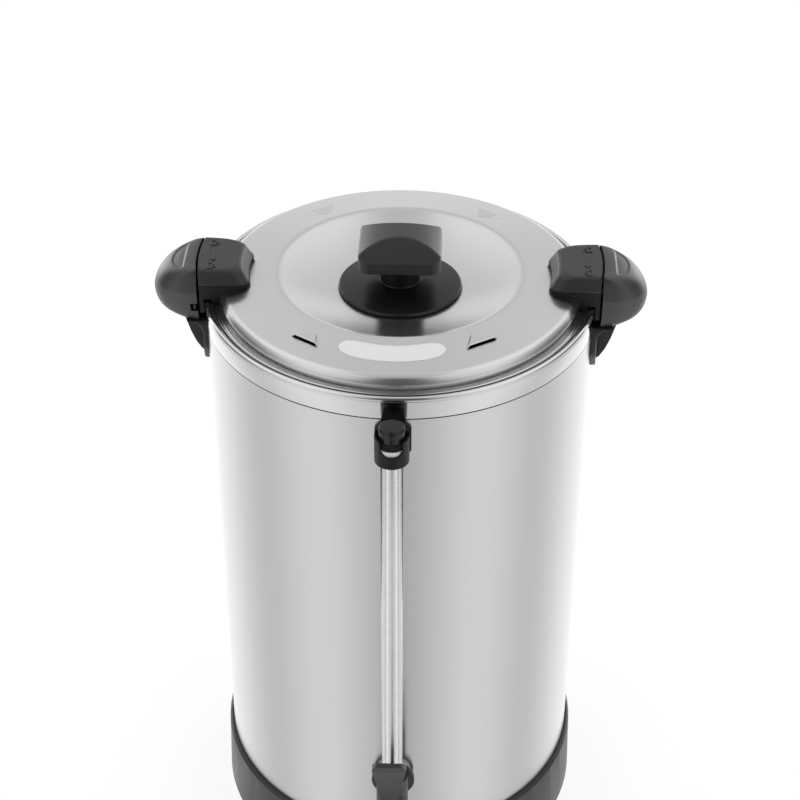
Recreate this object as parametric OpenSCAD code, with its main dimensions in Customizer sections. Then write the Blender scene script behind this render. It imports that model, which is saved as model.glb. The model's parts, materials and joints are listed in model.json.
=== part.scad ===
// Hot water urn: a steel tank in a steel shell on a plastic base, with a twist-lock lid,
// a self-closing tap and a glass level gauge. Millimetres, +Z up, the tap to -Y.

/* [Vessel] */
// Height of the tank's rim above the table
rim_z = 445; // [380:5:520]
// Radius of the rim and of the collar that is turned down from it
rim_r = 130; // [130:1:131]
// Height of the turned-down collar
collar_h = 15.2; // [12:0.2:20]
// Thickness of the sheet steel
sheet = 0.8; // [0.6:0.1:1]
// Height of the tank's floor above the table
floor_z = 74; // [72:1:80]

/* [Lid] */
// Radius of the crease round the lid's dish
crease_r = 81.3; // [76:0.1:86]
// Height of the crease above the rim
crease_h = 13.4; // [12:0.1:15]
// Fall of the lid's outer slope, per millimetre of radius
lid_slope = 0.15; // [0.1:0.01:0.18]
// Radius of the lid's rounded shoulder
shoulder_r = 7; // [5:0.5:8]
// Azimuth of a steam louvre from the tap's axis
louvre_az = 33.5; // [28:0.5:40]

/* [Handles] */
// Height of the handles' tops above the rim
grip_top = 22.6; // [20:0.5:25]
// Reach of a handle's nose from the urn's axis
grip_reach = 163.9; // [160:0.2:170]
// Half width of a handle and of a lid ear at the top
grip_half = 22; // [20:0.5:24]
// Radius of the seam between a lid ear and its handle
seam_r = 134.3; // [134:0.1:135]
// Width of that seam
seam_gap = 0.9; // [0.6:0.1:1.2]
// Depth of the handle's web below the rim
web_drop = 55; // [48:1:60]

/* [Knob] */
// Width of the lid knob
knob_w = 54; // [48:1:60]
// Depth of the lid knob, front to back
knob_d = 48.6; // [44:0.2:54]
// Height of the knob's crown above the rim
knob_top = 43.2; // [40:0.2:48]
// Radius of the knob's flange
flange_r = 40.7; // [36:0.1:44]
// Radius of the knob's stem
stem_r = 13.8; // [11:0.2:15]

/* [Level gauge] */
// Distance of the gauge tube from the urn's axis
gauge_r = 150; // [148:1:153]
// Outer radius of the glass tube
tube_r = 7; // [6.5:0.1:7.2]
// Radius of the glass tube's bore
tube_bore = 3.5; // [3:0.1:4]

/* [Tap] */
// Height of the tap's shank above the table
tap_z = 118; // [112:1:130]
// Distance of the tap's valve from the urn's axis
valve_r = 186; // [184:1:190]
// Distance from the lever's fulcrum back to the valve's stem
lever_arm = 9; // [8.5:0.5:9.5]

/* [Base] */
// Radius of the base at the table end
base_r = 134; // [133:0.5:136]
// Height of the base's upper edge above the table
base_h = 60; // [56:1:62]
// Height of the rubber feet
foot_h = 10; // [8:1:12]

/* [Hidden] */
$fn = 96;

// The parts are drawn round the vessel's axis, which lies behind the middle of the whole urn.
front_reach = valve_r + 22;
back_reach = base_r + 2;
axis_y = (front_reach - back_reach) / 2;

// Steel parts, from the rim inwards
ledge_z = rim_z - 6;
tank_r = 121.3;
corner_r = 8;
channel_r = 126.6;
shell_r = rim_r - sheet - 0.1;
bead_r = 1.9;
lid_flange_z = rim_z - 3.8;
lid_flange_r = 124.6;
lid_wall_r = 121.5;
dish_k = 0.0026;
dish_z = rim_z + crease_h - dish_k * crease_r * crease_r;
slope_deg = atan(lid_slope);
shoulder_x = lid_wall_r - shoulder_r;
shoulder_top_r = shoulder_x + shoulder_r * sin(slope_deg);
shoulder_z = rim_z + crease_h - lid_slope * (shoulder_top_r - crease_r) - shoulder_r * cos(slope_deg);
steel = [0.78, 0.78, 0.79];
black = [0.13, 0.13, 0.14];
brass = [0.80, 0.66, 0.35];
silicone = [0.92, 0.92, 0.90];

// Handles and ears: half width grows a little towards the rim
web_t = 4.4;
root_fillet = 10;
fillet_z = rim_z - 16.6 - root_fillet;
boss_r = 4.2;
boss_l = 8.6;
plate_out = rim_r + 2.6;
leg_in = rim_r + 0.6;
knob_corner = 8;
pocket_w = 2.7;
pocket_h = 5.5;
pocket_z = -8.4;
ear_inner = 97.2;
ear_hollow = 3;
hollow_r = 61.7;
grip_nose = 0.69;
grip_root = 133;
louvre_r = 101.5;
screw_r = 2;
handle_screw_z = [rim_z - 24, rim_z - 42];

// Knob: crown radius from its sag at the sides, and the pitch of its front and back faces
knob_low = 23;
knob_flat = 18.8;
crown_sag = 9;
crown_r = (pow(knob_w / 2, 2) + pow(crown_sag, 2)) / (2 * crown_sag);
knob_pitch = 41.4;

// Tap: places on its own axes
shank_r = 8.4;
stem_rod = 2.4;
spring_r = 4.2;
spring_wire = 0.7;
spring_turns = 4;
chamber_r = 8.5;
seat_z = tap_z - 15;
bonnet_z = tap_z + 14;
fulcrum_y = -(valve_r + lever_arm);
fulcrum_z = bonnet_z + 20;
pin_r = 1.5;
spout_z = tap_z - 44;
spout_bore = 5;

// Gauge: heights
nut_r = 9;
cap_r = 8.3;
cap_h = 9;
cup_r = 10.8;
bracket_screw_z = [rim_z - 38, rim_z - 26];
gauge_nut_z = rim_z - 19.5;
gauge_cup_z = rim_z - 31;
tube_bottom = tap_z + 6;
tube_top = rim_z - 11;

// Base: heights
skirt_t = 3;
shell_z = base_h - 8;
boss_x = 126.5;
foot_x = 104;
panel_z = foot_h + 23;
panel_y = base_r + 4;
panel_w = 92;
panel_h = 38;
panel_corner = 7;
lamp_x = 26;
rocker_w = 12.4;
rocker_y = 2.6;
rocker_tilt = 9;
inlet_z = foot_h + 24;
inlet_w = 28;
inlet_pin_xz = [[-7, -2.5], [0, 3], [7, -2.5]];
stud_x = 28;
heat_t = 4;
element_r = 62;
tube_el = 4;
element_z = floor_z - heat_t - tube_el - 0.2;
clamp_z = element_z - tube_el - 2.1;
cutout_x = 36;
cutout_y = 44;

module on_axis() translate([0, axis_y, 0]) children();

// A ring, from its inner to its outer radius and between two heights
module ring(r1, r2, z1, z2)
    rotate_extrude() translate([r1, z1]) square([r2 - r1, z2 - z1]);

// A sector of a ring, centred on an azimuth, with half an opening angle
module sector(r1, r2, z1, z2, az, half)
    rotate([0, 0, az - half]) rotate_extrude(angle = 2 * half) translate([r1, z1])
        square([r2 - r1, z2 - z1]);

// A rod between two points
module rod(a, b, r) {
    v = b - a;
    translate(a) rotate([0, acos(v[2] / norm(v)), atan2(v[1], v[0])]) cylinder(r = r, h = norm(v),
        $fn = 24);
}

// A wire or thin pipe along a list of points, with round elbows
module wire(points, r) {
    for (i = [0:len(points) - 2]) rod(points[i], points[i + 1], r);
    for (i = [1:len(points) - 2]) translate(points[i]) sphere(r = r + 0.1, $fn = 24);
}

// A pan-head screw whose head lies at z = 0 and whose shank runs down
module screw(r, head, len) {
    cylinder(r = head, h = 0.6 * head);
    translate([0, 0, -len]) cylinder(r = r, h = len);
}

// The steel vessel: floor, wall, ledge for the lid, rolled bead and turned-down collar
module tank_section() {
    translate([0, floor_z]) square([tank_r - corner_r, sheet]);
    translate([tank_r - corner_r, floor_z + corner_r]) intersection() {
        difference() {
            circle(r = corner_r);
            circle(r = corner_r - sheet);
        }
        translate([0, -corner_r]) square(corner_r);
    }
    translate([tank_r - sheet, floor_z + corner_r]) square([sheet, ledge_z - floor_z - corner_r]);
    translate([tank_r - sheet, ledge_z - sheet]) square([channel_r - tank_r + sheet, sheet]);
    translate([channel_r - sheet, ledge_z - sheet]) square([sheet, rim_z - bead_r - ledge_z + sheet]);
    translate([rim_r - bead_r, rim_z - bead_r]) circle(r = bead_r);
    translate([rim_r - sheet, rim_z - collar_h]) square([sheet, collar_h - bead_r]);
}

module inner_tank() color(steel) on_axis() {
    difference() {
        rotate_extrude() tank_section();
        translate([0, 4 - tank_r, tap_z]) rotate([90, 0, 0]) cylinder(r = shank_r + 0.2, h = 8);
    }
    for (x = [-stud_x, stud_x]) translate([x, 0, floor_z - 18]) cylinder(r = 2.5, h = 18.2);
}

// The shell stands on the base's ledge and its top edge is held under the collar
module outer_shell() color(steel) on_axis() difference() {
    union() {
        ring(shell_r - sheet, shell_r, shell_z, rim_z - collar_h + 2);
        ring(120, shell_r, shell_z, shell_z + sheet);
    }
    translate([0, 4 - shell_r, tap_z]) rotate([90, 0, 0]) cylinder(r = shank_r + 0.2, h = 8);
    for (a = [0, 180], z = handle_screw_z) rotate([0, 0, a]) translate([124, 0, z])
        rotate([0, 90, 0]) cylinder(r = screw_r + 0.2, h = 8);
    for (z = bracket_screw_z) translate([0, -124, z]) rotate([90, 0, 0]) cylinder(r = 1.7, h = 8);
}

// Plastic base: a tapered skirt with a ledge inside for the shell and bosses for the plate
module base_ring() color(black) on_axis() difference() {
    union() {
        rotate_extrude() polygon([
            [base_r, foot_h], [base_r - 1.6, base_h - 2], [base_r - 3, base_h], [shell_r + 0.3, base_h],
            [shell_r + 0.3, shell_z], [118, shell_z], [118, shell_z - skirt_t],
            [base_r - 1.3 - skirt_t, shell_z - skirt_t - 4], [base_r - skirt_t, foot_h]]);
        for (a = [45:90:315]) rotate([0, 0, a]) translate([boss_x, 0, foot_h + 1.2])
            cylinder(r = 5, h = 18);
    }
    for (a = [45:90:315]) rotate([0, 0, a]) translate([boss_x, 0, foot_h])
        cylinder(r = screw_r - 0.3, h = 14);
    translate([-panel_w / 2 - 0.1, -panel_y - 1, panel_z - panel_h / 2 - 0.1])
        cube([panel_w + 0.2, 30, panel_h + 0.2]);
    translate([-inlet_w / 2 - 0.2, base_r - 12, inlet_z - 10.2]) cube([inlet_w + 0.4, 20, 20.4]);
    translate([-26, base_r - 2.1, inlet_z - 12.2]) cube([52, 8, 24.4]);
    for (x = [-20, 20]) translate([x, base_r, inlet_z]) rotate([90, 0, 0]) cylinder(r = 1.5, h = 14);
}

module bottom_plate() color([0.6, 0.6, 0.62]) on_axis() difference() {
    translate([0, 0, foot_h]) cylinder(r = base_r - skirt_t - 0.4, h = 1);
    for (a = [45:90:315]) rotate([0, 0, a]) {
        translate([boss_x, 0, foot_h - 1]) cylinder(r = screw_r + 0.2, h = 3);
        translate([foot_x, 0, foot_h - 1]) cylinder(r = 2.2, h = 3);
    }
    for (i = [-3:3]) translate([-30, 10 * i - 1.5, foot_h - 1]) cube([44, 3, 3]);
    translate([cutout_x, cutout_y, foot_h - 1]) cylinder(r = 4, h = 3);
}

// A rubber foot with a moulded plug that snaps through the bottom plate
module foot(a) color([0.16, 0.16, 0.16]) on_axis() rotate([0, 0, a]) translate([foot_x, 0, 0]) {
    rotate_extrude() polygon([[0, 0], [11, 0], [12, 1], [13, foot_h - 1.4], [12, foot_h - 0.1],
        [0, foot_h - 0.1]]);
    cylinder(r = 2, h = foot_h + 2.4);
    translate([0, 0, foot_h + 1.1]) cylinder(r1 = 3.2, r2 = 2.2, h = 1.6);
}
module foot_front_left() foot(225);
module foot_front_right() foot(315);
module foot_rear_left() foot(135);
module foot_rear_right() foot(45);

module base_screws() color(steel) on_axis() for (a = [45:90:315]) rotate([0, 0, a])
    translate([boss_x, 0, foot_h - 0.1]) rotate([180, 0, 0]) screw(screw_r - 0.35, 3.6, 12);

// Front bezel: a flat face with rounded corners, hollow behind, open for the switch and lamps
module panel_outline(g) {
    w = panel_w / 2 - panel_corner;
    h = panel_h / 2 - panel_corner;
    hull() for (x = [-w, w], z = [-h, h]) translate([x, z]) circle(r = panel_corner - g, $fn = 32);
}
module control_panel() color(black) on_axis() difference() {
    translate([0, -panel_y, panel_z]) rotate([-90, 0, 0]) linear_extrude(17) panel_outline(0);
    translate([0, 3 - panel_y, panel_z]) rotate([-90, 0, 0]) linear_extrude(20) panel_outline(2.5);
    translate([-7.6, -panel_y - 1, panel_z - 10.6]) cube([15.2, 6, 21.2]);
    for (x = [-lamp_x, lamp_x]) translate([x, 6 - panel_y, panel_z]) rotate([90, 0, 0])
        cylinder(r = 5.2, h = 8);
}

module switch_housing() color([0.1, 0.1, 0.11]) on_axis() translate([0, -panel_y, panel_z]) difference() {
    union() {
        translate([-9, -1.2, -12]) cube([18, 1.1, 24]);
        translate([-7.5, -0.2, -10.5]) cube([15, 16.2, 21]);
        for (z = [-6, 0, 6]) translate([-2.4, 16, z - 0.4]) cube([4.8, 7, 0.8]);
    }
    translate([-rocker_w / 2 - 0.3, -3, -9.7]) cube([rocker_w + 0.6, 8, 19.4]);
    translate([0, rocker_y, 0]) rotate([0, 90, 0]) cylinder(r = 9.7, h = rocker_w + 0.6, center = true);
    translate([0, rocker_y, 0]) rotate([0, 90, 0]) cylinder(r = 1.55, h = rocker_w + 2.8, center = true);
}

// The rocker is a slice of a drum with a shallow V across its face
module rocker_switch() color([0.62, 0.10, 0.09]) on_axis() translate([0, rocker_y - panel_y, panel_z])
    rotate([rocker_tilt, 0, 0]) {
        intersection() {
            rotate([0, 90, 0]) cylinder(r = 9.3, h = rocker_w, center = true);
            rotate([90, 0, 90]) linear_extrude(rocker_w, center = true)
                polygon([[3, -10], [-5, -10], [-2.8, 0], [-5, 10], [3, 10]]);
        }
        rotate([0, 90, 0]) cylinder(r = 1.5, h = rocker_w + 2.4, center = true);
    }

module lamp(x, c) color(c) on_axis() translate([x, -panel_y, panel_z]) rotate([90, 0, 0]) rotate_extrude()
    polygon(concat([[0, -14], [4.9, -14], [4.9, 0.1], [6, 0.1], [6, 1]],
        [for (t = [15:15:90]) [6 * cos(t), 1 + 2.4 * sin(t)]]));
module power_lamp() lamp(-lamp_x, [0.85, 0.15, 0.1]);
module ready_lamp() lamp(lamp_x, [0.95, 0.62, 0.12]);

// Heating below the tank's floor: spreader plate, tubular ring, clamp bar on two welded studs
module heat_plate() color([0.75, 0.75, 0.76]) on_axis() difference() {
    translate([0, 0, floor_z - heat_t - 0.1]) cylinder(r = 88, h = heat_t);
    for (x = [-stud_x, stud_x]) translate([x, 0, floor_z - 10]) cylinder(r = 2.7, h = 12);
}
module heating_element() color([0.55, 0.5, 0.45]) on_axis() translate([0, 0, element_z]) {
    rotate([0, 0, 110]) rotate_extrude(angle = 320) translate([element_r, 0])
        circle(r = tube_el, $fn = 32);
    for (a = [110, 70]) rotate([0, 0, a]) translate([element_r, 0, 0]) {
        sphere(r = tube_el, $fn = 32);
        translate([0, 0, -14]) cylinder(r = tube_el, h = 14);
        translate([0, 0, -20]) cylinder(r = 1.5, h = 7);
    }
}
module element_clamp() color(steel) on_axis() difference() {
    translate([-element_r - 8, -7, clamp_z]) cube([2 * element_r + 16, 14, 2]);
    for (x = [-stud_x, stud_x]) translate([x, 0, clamp_z - 1]) cylinder(r = 2.8, h = 4);
}
module clamp_nuts() color(steel) on_axis() for (x = [-stud_x, stud_x]) translate([x, 0, clamp_z - 4])
    difference() {
    cylinder(r = 4.6, h = 3.9, $fn = 6);
    translate([0, 0, -1]) cylinder(r = 2.55, h = 6);
}

// Disc thermostats pressed up against the spreader plate, each with two blade terminals
module disc_thermostat(y) on_axis() translate([0, y, floor_z - heat_t - 0.2]) {
    translate([0, 0, -3]) cylinder(r = 9, h = 3);
    translate([0, 0, -11]) cylinder(r = 7.5, h = 8.1);
    for (x = [-4, 4]) translate([x - 0.4, -3, -16]) cube([0.8, 6, 5.1]);
}
module thermostat() color([0.85, 0.83, 0.78]) disc_thermostat(30);
module keep_warm_thermostat() color([0.85, 0.83, 0.78]) disc_thermostat(-30);
module thermal_fuse() color([0.7, 0.62, 0.4]) on_axis() translate([-44, 26, floor_z - heat_t - 3.2])
    rotate([0, 90, 0]) {
    cylinder(r = 2.9, h = 14);
    translate([0, 0, -4]) cylinder(r = 0.8, h = 22);
}
module thermal_cutout() color([0.2, 0.2, 0.22]) on_axis() translate([cutout_x, cutout_y, foot_h + 1])
    difference() {
    union() {
        translate([-12, -12, 0.1]) cube([24, 24, 16]);
        for (x = [-6, 6]) translate([x - 0.4, -3, 16]) cube([0.8, 6, 6]);
    }
    translate([0, 0, -1]) cylinder(r = 3.3, h = 9);
}
module cutout_capillary() color([0.72, 0.45, 0.3]) on_axis() {
    wire([[cutout_x + 12.1, cutout_y, foot_h + 10], [cutout_x + 22, cutout_y, foot_h + 10],
        [cutout_x + 22, cutout_y, floor_z - 26], [40, 8, floor_z - 26], [40, 8, floor_z - heat_t - 3.2],
        [40, 2, floor_z - heat_t - 3.2]], 0.9);
    rod([40, 2, floor_z - heat_t - 3.2], [40, -24, floor_z - heat_t - 3.2], 2.9);
}
module reset_button() color([0.75, 0.1, 0.08]) on_axis() translate([cutout_x, cutout_y, foot_h - 3.5])
    cylinder(r = 3, h = 8);
module terminal_block() color([0.9, 0.9, 0.86]) on_axis() translate([-58, 40, foot_h + 1.1])
    difference() {
    cube([34, 16, 14]);
    for (x = [6:11:28]) translate([x, 8, 6]) cylinder(r = 2.6, h = 10);
}
module wiring() color([0.75, 0.3, 0.2]) on_axis() {
    blade_z = floor_z - 20.4;
    for (s = [-1, 1]) wire([[7 * s, base_r - 20.2, inlet_z - 2.5], [7 * s, 96 - 4 * s, inlet_z - 2.5],
        [7 * s, 96 - 4 * s, 20], [5.5 * s - 41, 96 - 4 * s, 20], [5.5 * s - 41, 56.2, 20]], 1.2);
    wire([[0, 23.2 - panel_y, panel_z - 6], [0, -100, panel_z - 6], [-41, -100, panel_z - 6],
        [-41, -100, 20],
        [-41, 39.8, 20]], 1.2);
    wire([[0, 23.2 - panel_y, panel_z], [0, -104, panel_z], [4, -104, panel_z], [4, -30, panel_z],
        [4, -30, blade_z]], 1.2);
    wire([[-4, -30, blade_z], [-4, -30, 44], [-4, 30, 44], [-4, 30, blade_z]], 1.2);
    wire([[4, 30, blade_z], [4, 30, 40], [21.2, 30, 40], [21.2, 58.3, 40],
        [21.2, 58.3, element_z - 20.2]], 1.2);
}

// Appliance inlet in the back of the base: flange, socket and three blades
module power_inlet() color([0.1, 0.1, 0.11]) on_axis() translate([0, base_r + 2, inlet_z]) difference() {
    union() {
        translate([-25, -4, -11.5]) cube([50, 4, 23]);
        translate([-inlet_w / 2, -22, -10]) cube([inlet_w, 20, 20]);
    }
    translate([0, -15, 0]) rotate([-90, 0, 0]) linear_extrude(20)
        polygon([[-12.2, -8], [12.2, -8], [12.2, 4], [8, 8], [-8, 8], [-12.2, 4]]);
    for (x = [-20, 20]) translate([x, 1, 0]) rotate([90, 0, 0]) cylinder(r = 1.9, h = 8);
    for (p = inlet_pin_xz) translate([p[0] - 1, -23, p[1] - 2]) cube([2, 12, 4]);
}
module inlet_pins() color(brass) on_axis() translate([0, base_r + 2, inlet_z])
    for (p = inlet_pin_xz) translate([p[0] - 1, -22, p[1] - 2]) cube([2, 16, 4]);
module inlet_screws() color(steel) on_axis() for (x = [-20, 20])
    translate([x, base_r + 2, inlet_z]) rotate([-90, 0, 0]) screw(1.4, 3, 10);

// Handle, drawn on the +X side: a domed grip, a fastening plate on the shell and a web under it
function grip_plan(reach, half, back) = concat([[back, -half]],
    [for (t = [-90:10:90]) [grip_root + (reach - grip_root) * pow(cos(t), grip_nose), half * sin(t)]],
        [[back, half]]);
// Levels of the grip: height from the rim, then what is added to its reach and to its half width
grip_levels = [[-17.6, -22.9, -1.5], [-13.5, -7.3, 0.6], [-9, -1.7, 1.5], [-2.4, 0, 2], [2.4, -0.6, 2],
    [7.6, -2.5, 1.7],
    [12.4, -5.2, 1.1], [16.2, -9.1, 0.5], [18.9, -13.7, 0], [21.2, -19.9, -0.6], [grip_top, -26.9, -1.6]];
module handle() difference() {
    union() {
        hull() for (l = grip_levels) translate([0, 0, rim_z + l[0]])
            linear_extrude(0.02) polygon(grip_plan(grip_reach + l[1], grip_half + l[2], seam_r - 4));
        intersection() {
            ring(rim_r - 2, plate_out, rim_z - web_drop - 2, rim_z - 10.4);
            translate([120, 0, rim_z]) rotate([90, 0, 90]) linear_extrude(20) polygon([
                [-grip_half - 1, 0], [-grip_half - 1, -38], [-grip_half + 4, -45], [-8, -web_drop - 1],
                [8, -web_drop - 1], [grip_half - 4, -45], [grip_half + 1, -38], [grip_half + 1, 0]]);
        }
        sector_fillet();
        translate([0, web_t / 2, rim_z]) rotate([90, 0, 0]) linear_extrude(web_t) polygon([
            [plate_out - 2, -12], [grip_root + 18, -12], [grip_root + 14.4, -20], [grip_root + 11.4, -29],
            [grip_root + 8.9, -38], [grip_root + 5.7, -46], [grip_root + 1.8, -52],
                [plate_out - 2, -web_drop]]);
        for (z = handle_screw_z) translate([plate_out - 1, 0, z]) rotate([0, 90, 0])
            cylinder(r = boss_r, h = boss_l);
    }
    translate([0, 0, rim_z - 10.4]) cylinder(r = seam_r, h = 60);
    translate([0, 0, rim_z - collar_h - 0.5]) cylinder(r = rim_r + 0.2, h = 60);
    translate([0, 0, rim_z - 80]) cylinder(r = shell_r + 0.1, h = 120);
    translate([seam_r - 1, 8, rim_z + pocket_z]) cube([pocket_w + 1, 30, pocket_h]);
    for (z = handle_screw_z) translate([126, 0, z]) rotate([0, 90, 0])
        cylinder(r = screw_r - 0.3, h = 13);
}
module sector_fillet() {
    half = asin((grip_half + 0.5) / plate_out);
    rotate([0, 0, -half]) rotate_extrude(angle = 2 * half)
        translate([plate_out - 0.2, fillet_z]) difference() {
            square(root_fillet);
            translate([root_fillet, 0]) circle(r = root_fillet - 0.2);
        }
}
module left_handle() color(black) on_axis() rotate([0, 0, 180]) handle();
module right_handle() color(black) on_axis() handle();

module backing_plate() difference() {
    sector(shell_r - sheet - 2.3, shell_r - sheet - 0.2, rim_z - 50, rim_z - 17, 0, 8);
    for (z = handle_screw_z) translate([120, 0, z]) rotate([0, 90, 0])
        cylinder(r = screw_r + 0.1, h = 12);
}
module left_backing_plate() color([0.6, 0.6, 0.62]) on_axis() rotate([0, 0, 180]) backing_plate();
module right_backing_plate() color([0.6, 0.6, 0.62]) on_axis() backing_plate();
module handle_screws() color(steel) on_axis() for (a = [0, 180], z = handle_screw_z) rotate([0, 0, a])
    translate([shell_r - sheet - 2.4, 0, z]) rotate([0, -90, 0]) screw(screw_r - 0.35, 3.6, 12);

// Tap body: shank through both walls, boss for the gauge, valve chamber and spout
module faucet_body() color([0.12, 0.12, 0.13]) on_axis() difference() {
    union() {
        translate([0, -112, tap_z]) rotate([90, 0, 0]) cylinder(r = shank_r, h = valve_r - 112);
        translate([0, -132.4, tap_z]) rotate([90, 0, 0]) cylinder(r = 15, h = 3.4);
        translate([0, -132.4, tap_z]) rotate([90, 0, 0]) cylinder(r = 10.5, h = valve_r - 132.4);
        translate([0, -gauge_r, tap_z - 12]) cylinder(r = 11, h = 33);
        translate([0, -valve_r, seat_z - 4]) cylinder(r = 13, h = bonnet_z - seat_z + 4);
        translate([0, -valve_r, spout_z]) cylinder(r1 = 7.6, r2 = 9, h = seat_z - spout_z);
    }
    translate([0, -111, tap_z]) rotate([90, 0, 0]) cylinder(r = 5, h = valve_r - 111);
    translate([0, -gauge_r, tap_z]) cylinder(r = tube_bore, h = 10);
    translate([0, -gauge_r, tube_bottom]) cylinder(r = tube_r + 0.1, h = 30);
    translate([0, -gauge_r, tap_z + 15]) cylinder(r = 9.2, h = 10);
    translate([0, -valve_r, seat_z]) cylinder(r = chamber_r, h = 40);
    translate([0, -valve_r, spout_z - 1]) cylinder(r = spout_bore, h = 40);
}
// Nut and silicone washers that clamp the tap in the tank and shell walls
module faucet_nut() color([0.12, 0.12, 0.13]) on_axis() translate([0, -112.4, tap_z])
    rotate([90, 0, 0]) difference() {
    cylinder(r = 16, h = 4, $fn = 6);
    translate([0, 0, -1]) cylinder(r = shank_r + 0.1, h = 6);
}
module shank_washer(y1, y2) translate([0, -y1, tap_z]) rotate([90, 0, 0]) difference() {
    cylinder(r = 13, h = y2 - y1);
    translate([0, 0, -1]) cylinder(r = shank_r + 0.05, h = y2 - y1 + 2);
}
module faucet_inner_seal() color(silicone) on_axis() shank_washer(116.5, 119.6);
module faucet_outer_seal() color(silicone) on_axis() shank_washer(shell_r + 0.1, 132.3);
// Bonnet: a ribbed cap on the valve chamber, with two ears for the lever's fulcrum pin
module faucet_bonnet() color([0.12, 0.12, 0.13]) on_axis() difference() {
    union() {
        translate([0, -valve_r, bonnet_z + 0.1]) cylinder(r = 13, h = 8);
        for (a = [0:20:340]) translate([0, -valve_r, bonnet_z + 0.1]) rotate([0, 0, a])
            translate([13, 0, 0])
            cylinder(r = 0.8, h = 6, $fn = 16);
        translate([0, -valve_r, bonnet_z - 5]) cylinder(r = chamber_r - 0.1, h = 6);
        for (x = [-8.4, 5.4]) translate([x, 0, 0]) {
            rotate([90, 0, 90]) linear_extrude(3) polygon([[-valve_r - 2, bonnet_z + 7],
                [-valve_r - 12, bonnet_z + 7],
                [fulcrum_y - 4, fulcrum_z], [fulcrum_y + 4, fulcrum_z]]);
            translate([0, fulcrum_y, fulcrum_z]) rotate([0, 90, 0]) cylinder(r = 4.4, h = 3);
        }
    }
    translate([0, -valve_r, bonnet_z - 6]) cylinder(r = stem_rod + 0.3, h = 20);
    translate([0, fulcrum_y, fulcrum_z]) rotate([0, 90, 0])
        cylinder(r = pin_r + 0.05, h = 30, center = true);
}
// Stem: a rod with a flat eye on top, lifted by the lever's cross pin
module faucet_stem() color(steel) on_axis() translate([0, -valve_r, 0]) difference() {
    union() {
        translate([0, 0, seat_z + 2.6]) cylinder(r = stem_rod, h = fulcrum_z - 4 - seat_z - 2.5);
        translate([-2.1, -4, fulcrum_z - 4]) cube([4.2, 8, 8]);
    }
    for (y = [-1.2, 0.6]) translate([-3, y, fulcrum_z]) rotate([0, 90, 0])
        cylinder(r = pin_r + 0.3, h = 6);
    translate([-3, -1.2, fulcrum_z - pin_r - 0.3]) cube([6, 1.8, 2 * pin_r + 0.6]);
}
module seat_cup() color(silicone) on_axis() translate([0, -valve_r, seat_z + 0.1]) difference() {
    rotate_extrude() polygon([[0, 0], [6.4, 0], [7.6, 1.4], [7.6, 6], [6.4, 7], [0, 7]]);
    translate([0, 0, 2.5]) cylinder(r = stem_rod + 0.02, h = 6);
}
// Closing spring: a wire coiled round the stem, between the seat cup and the bonnet's plug
function coil_ring(i, n, h) = [for (s = [0:60:300])
    let (a = 360 * spring_turns * i / n, w = spring_wire * cos(s))
    [(spring_r + w) * cos(a), (spring_r + w) * sin(a), h * i / n + spring_wire * sin(s)]];
module faucet_spring() color(steel) on_axis() translate([0, -valve_r, seat_z + 7.2 + spring_wire]) {
    n = 10 * spring_turns;
    h = bonnet_z - 5.1 - seat_z - 7.2 - 2 * spring_wire - 0.1;
    polyhedron([for (i = [0:n]) each coil_ring(i, n, h)],
        concat([[0, 1, 2, 3, 4, 5]], [[for (s = [5:-1:0]) 6 * n + s]],
            [for (i = [0:n - 1], s = [0:5]) [6 * i + s, 6 * i + 6 + s, 6 * i + 6 + (s + 1)
                % 6, 6 * i + (s + 1) % 6]]));
}
// Lever: two cheeks round the stem's eye, a cross pin through it and a paddle that leans forward
module faucet_lever() color(black) on_axis() translate([0, fulcrum_y, fulcrum_z]) difference() {
    union() {
        for (x = [-4.9, 2.9]) translate([x, 0, 0]) rotate([90, 0, 90]) linear_extrude(2) {
            circle(r = 4.6);
            translate([lever_arm, 0]) circle(r = 3);
            polygon([[0, -4.6], [lever_arm, -3], [lever_arm, 3], [3.6, 10], [-4.4, 10], [-4.6, 0]]);
        }
        translate([-4, lever_arm, 0]) rotate([0, 90, 0]) cylinder(r = pin_r, h = 8);
        intersection() {
            rotate([90, 0, 90]) linear_extrude(40, center = true) polygon([[3.6, 6.5], [3.6, 14], [0, 30],
                [-6.5, 50], [-9, 54.6], [-11, 55.6], [-13, 54.4], [-12, 49], [-6, 30], [-4.4, 14],
                    [-4.4, 6.5]]);
            rotate([90, 0, 0]) linear_extrude(60, center = true) hull() {
                translate([-4.9, 6.5]) square([9.8, 4]);
                for (x = [-5.5, 5.5]) translate([x, 50]) circle(r = 5.6, $fn = 32);
            }
        }
    }
    rotate([0, 90, 0]) cylinder(r = pin_r + 0.05, h = 30, center = true);
}
module fulcrum_pin() color(steel) on_axis() translate([-8.8, fulcrum_y, fulcrum_z]) rotate([0, 90, 0])
    cylinder(r = pin_r, h = 17.6);

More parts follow.
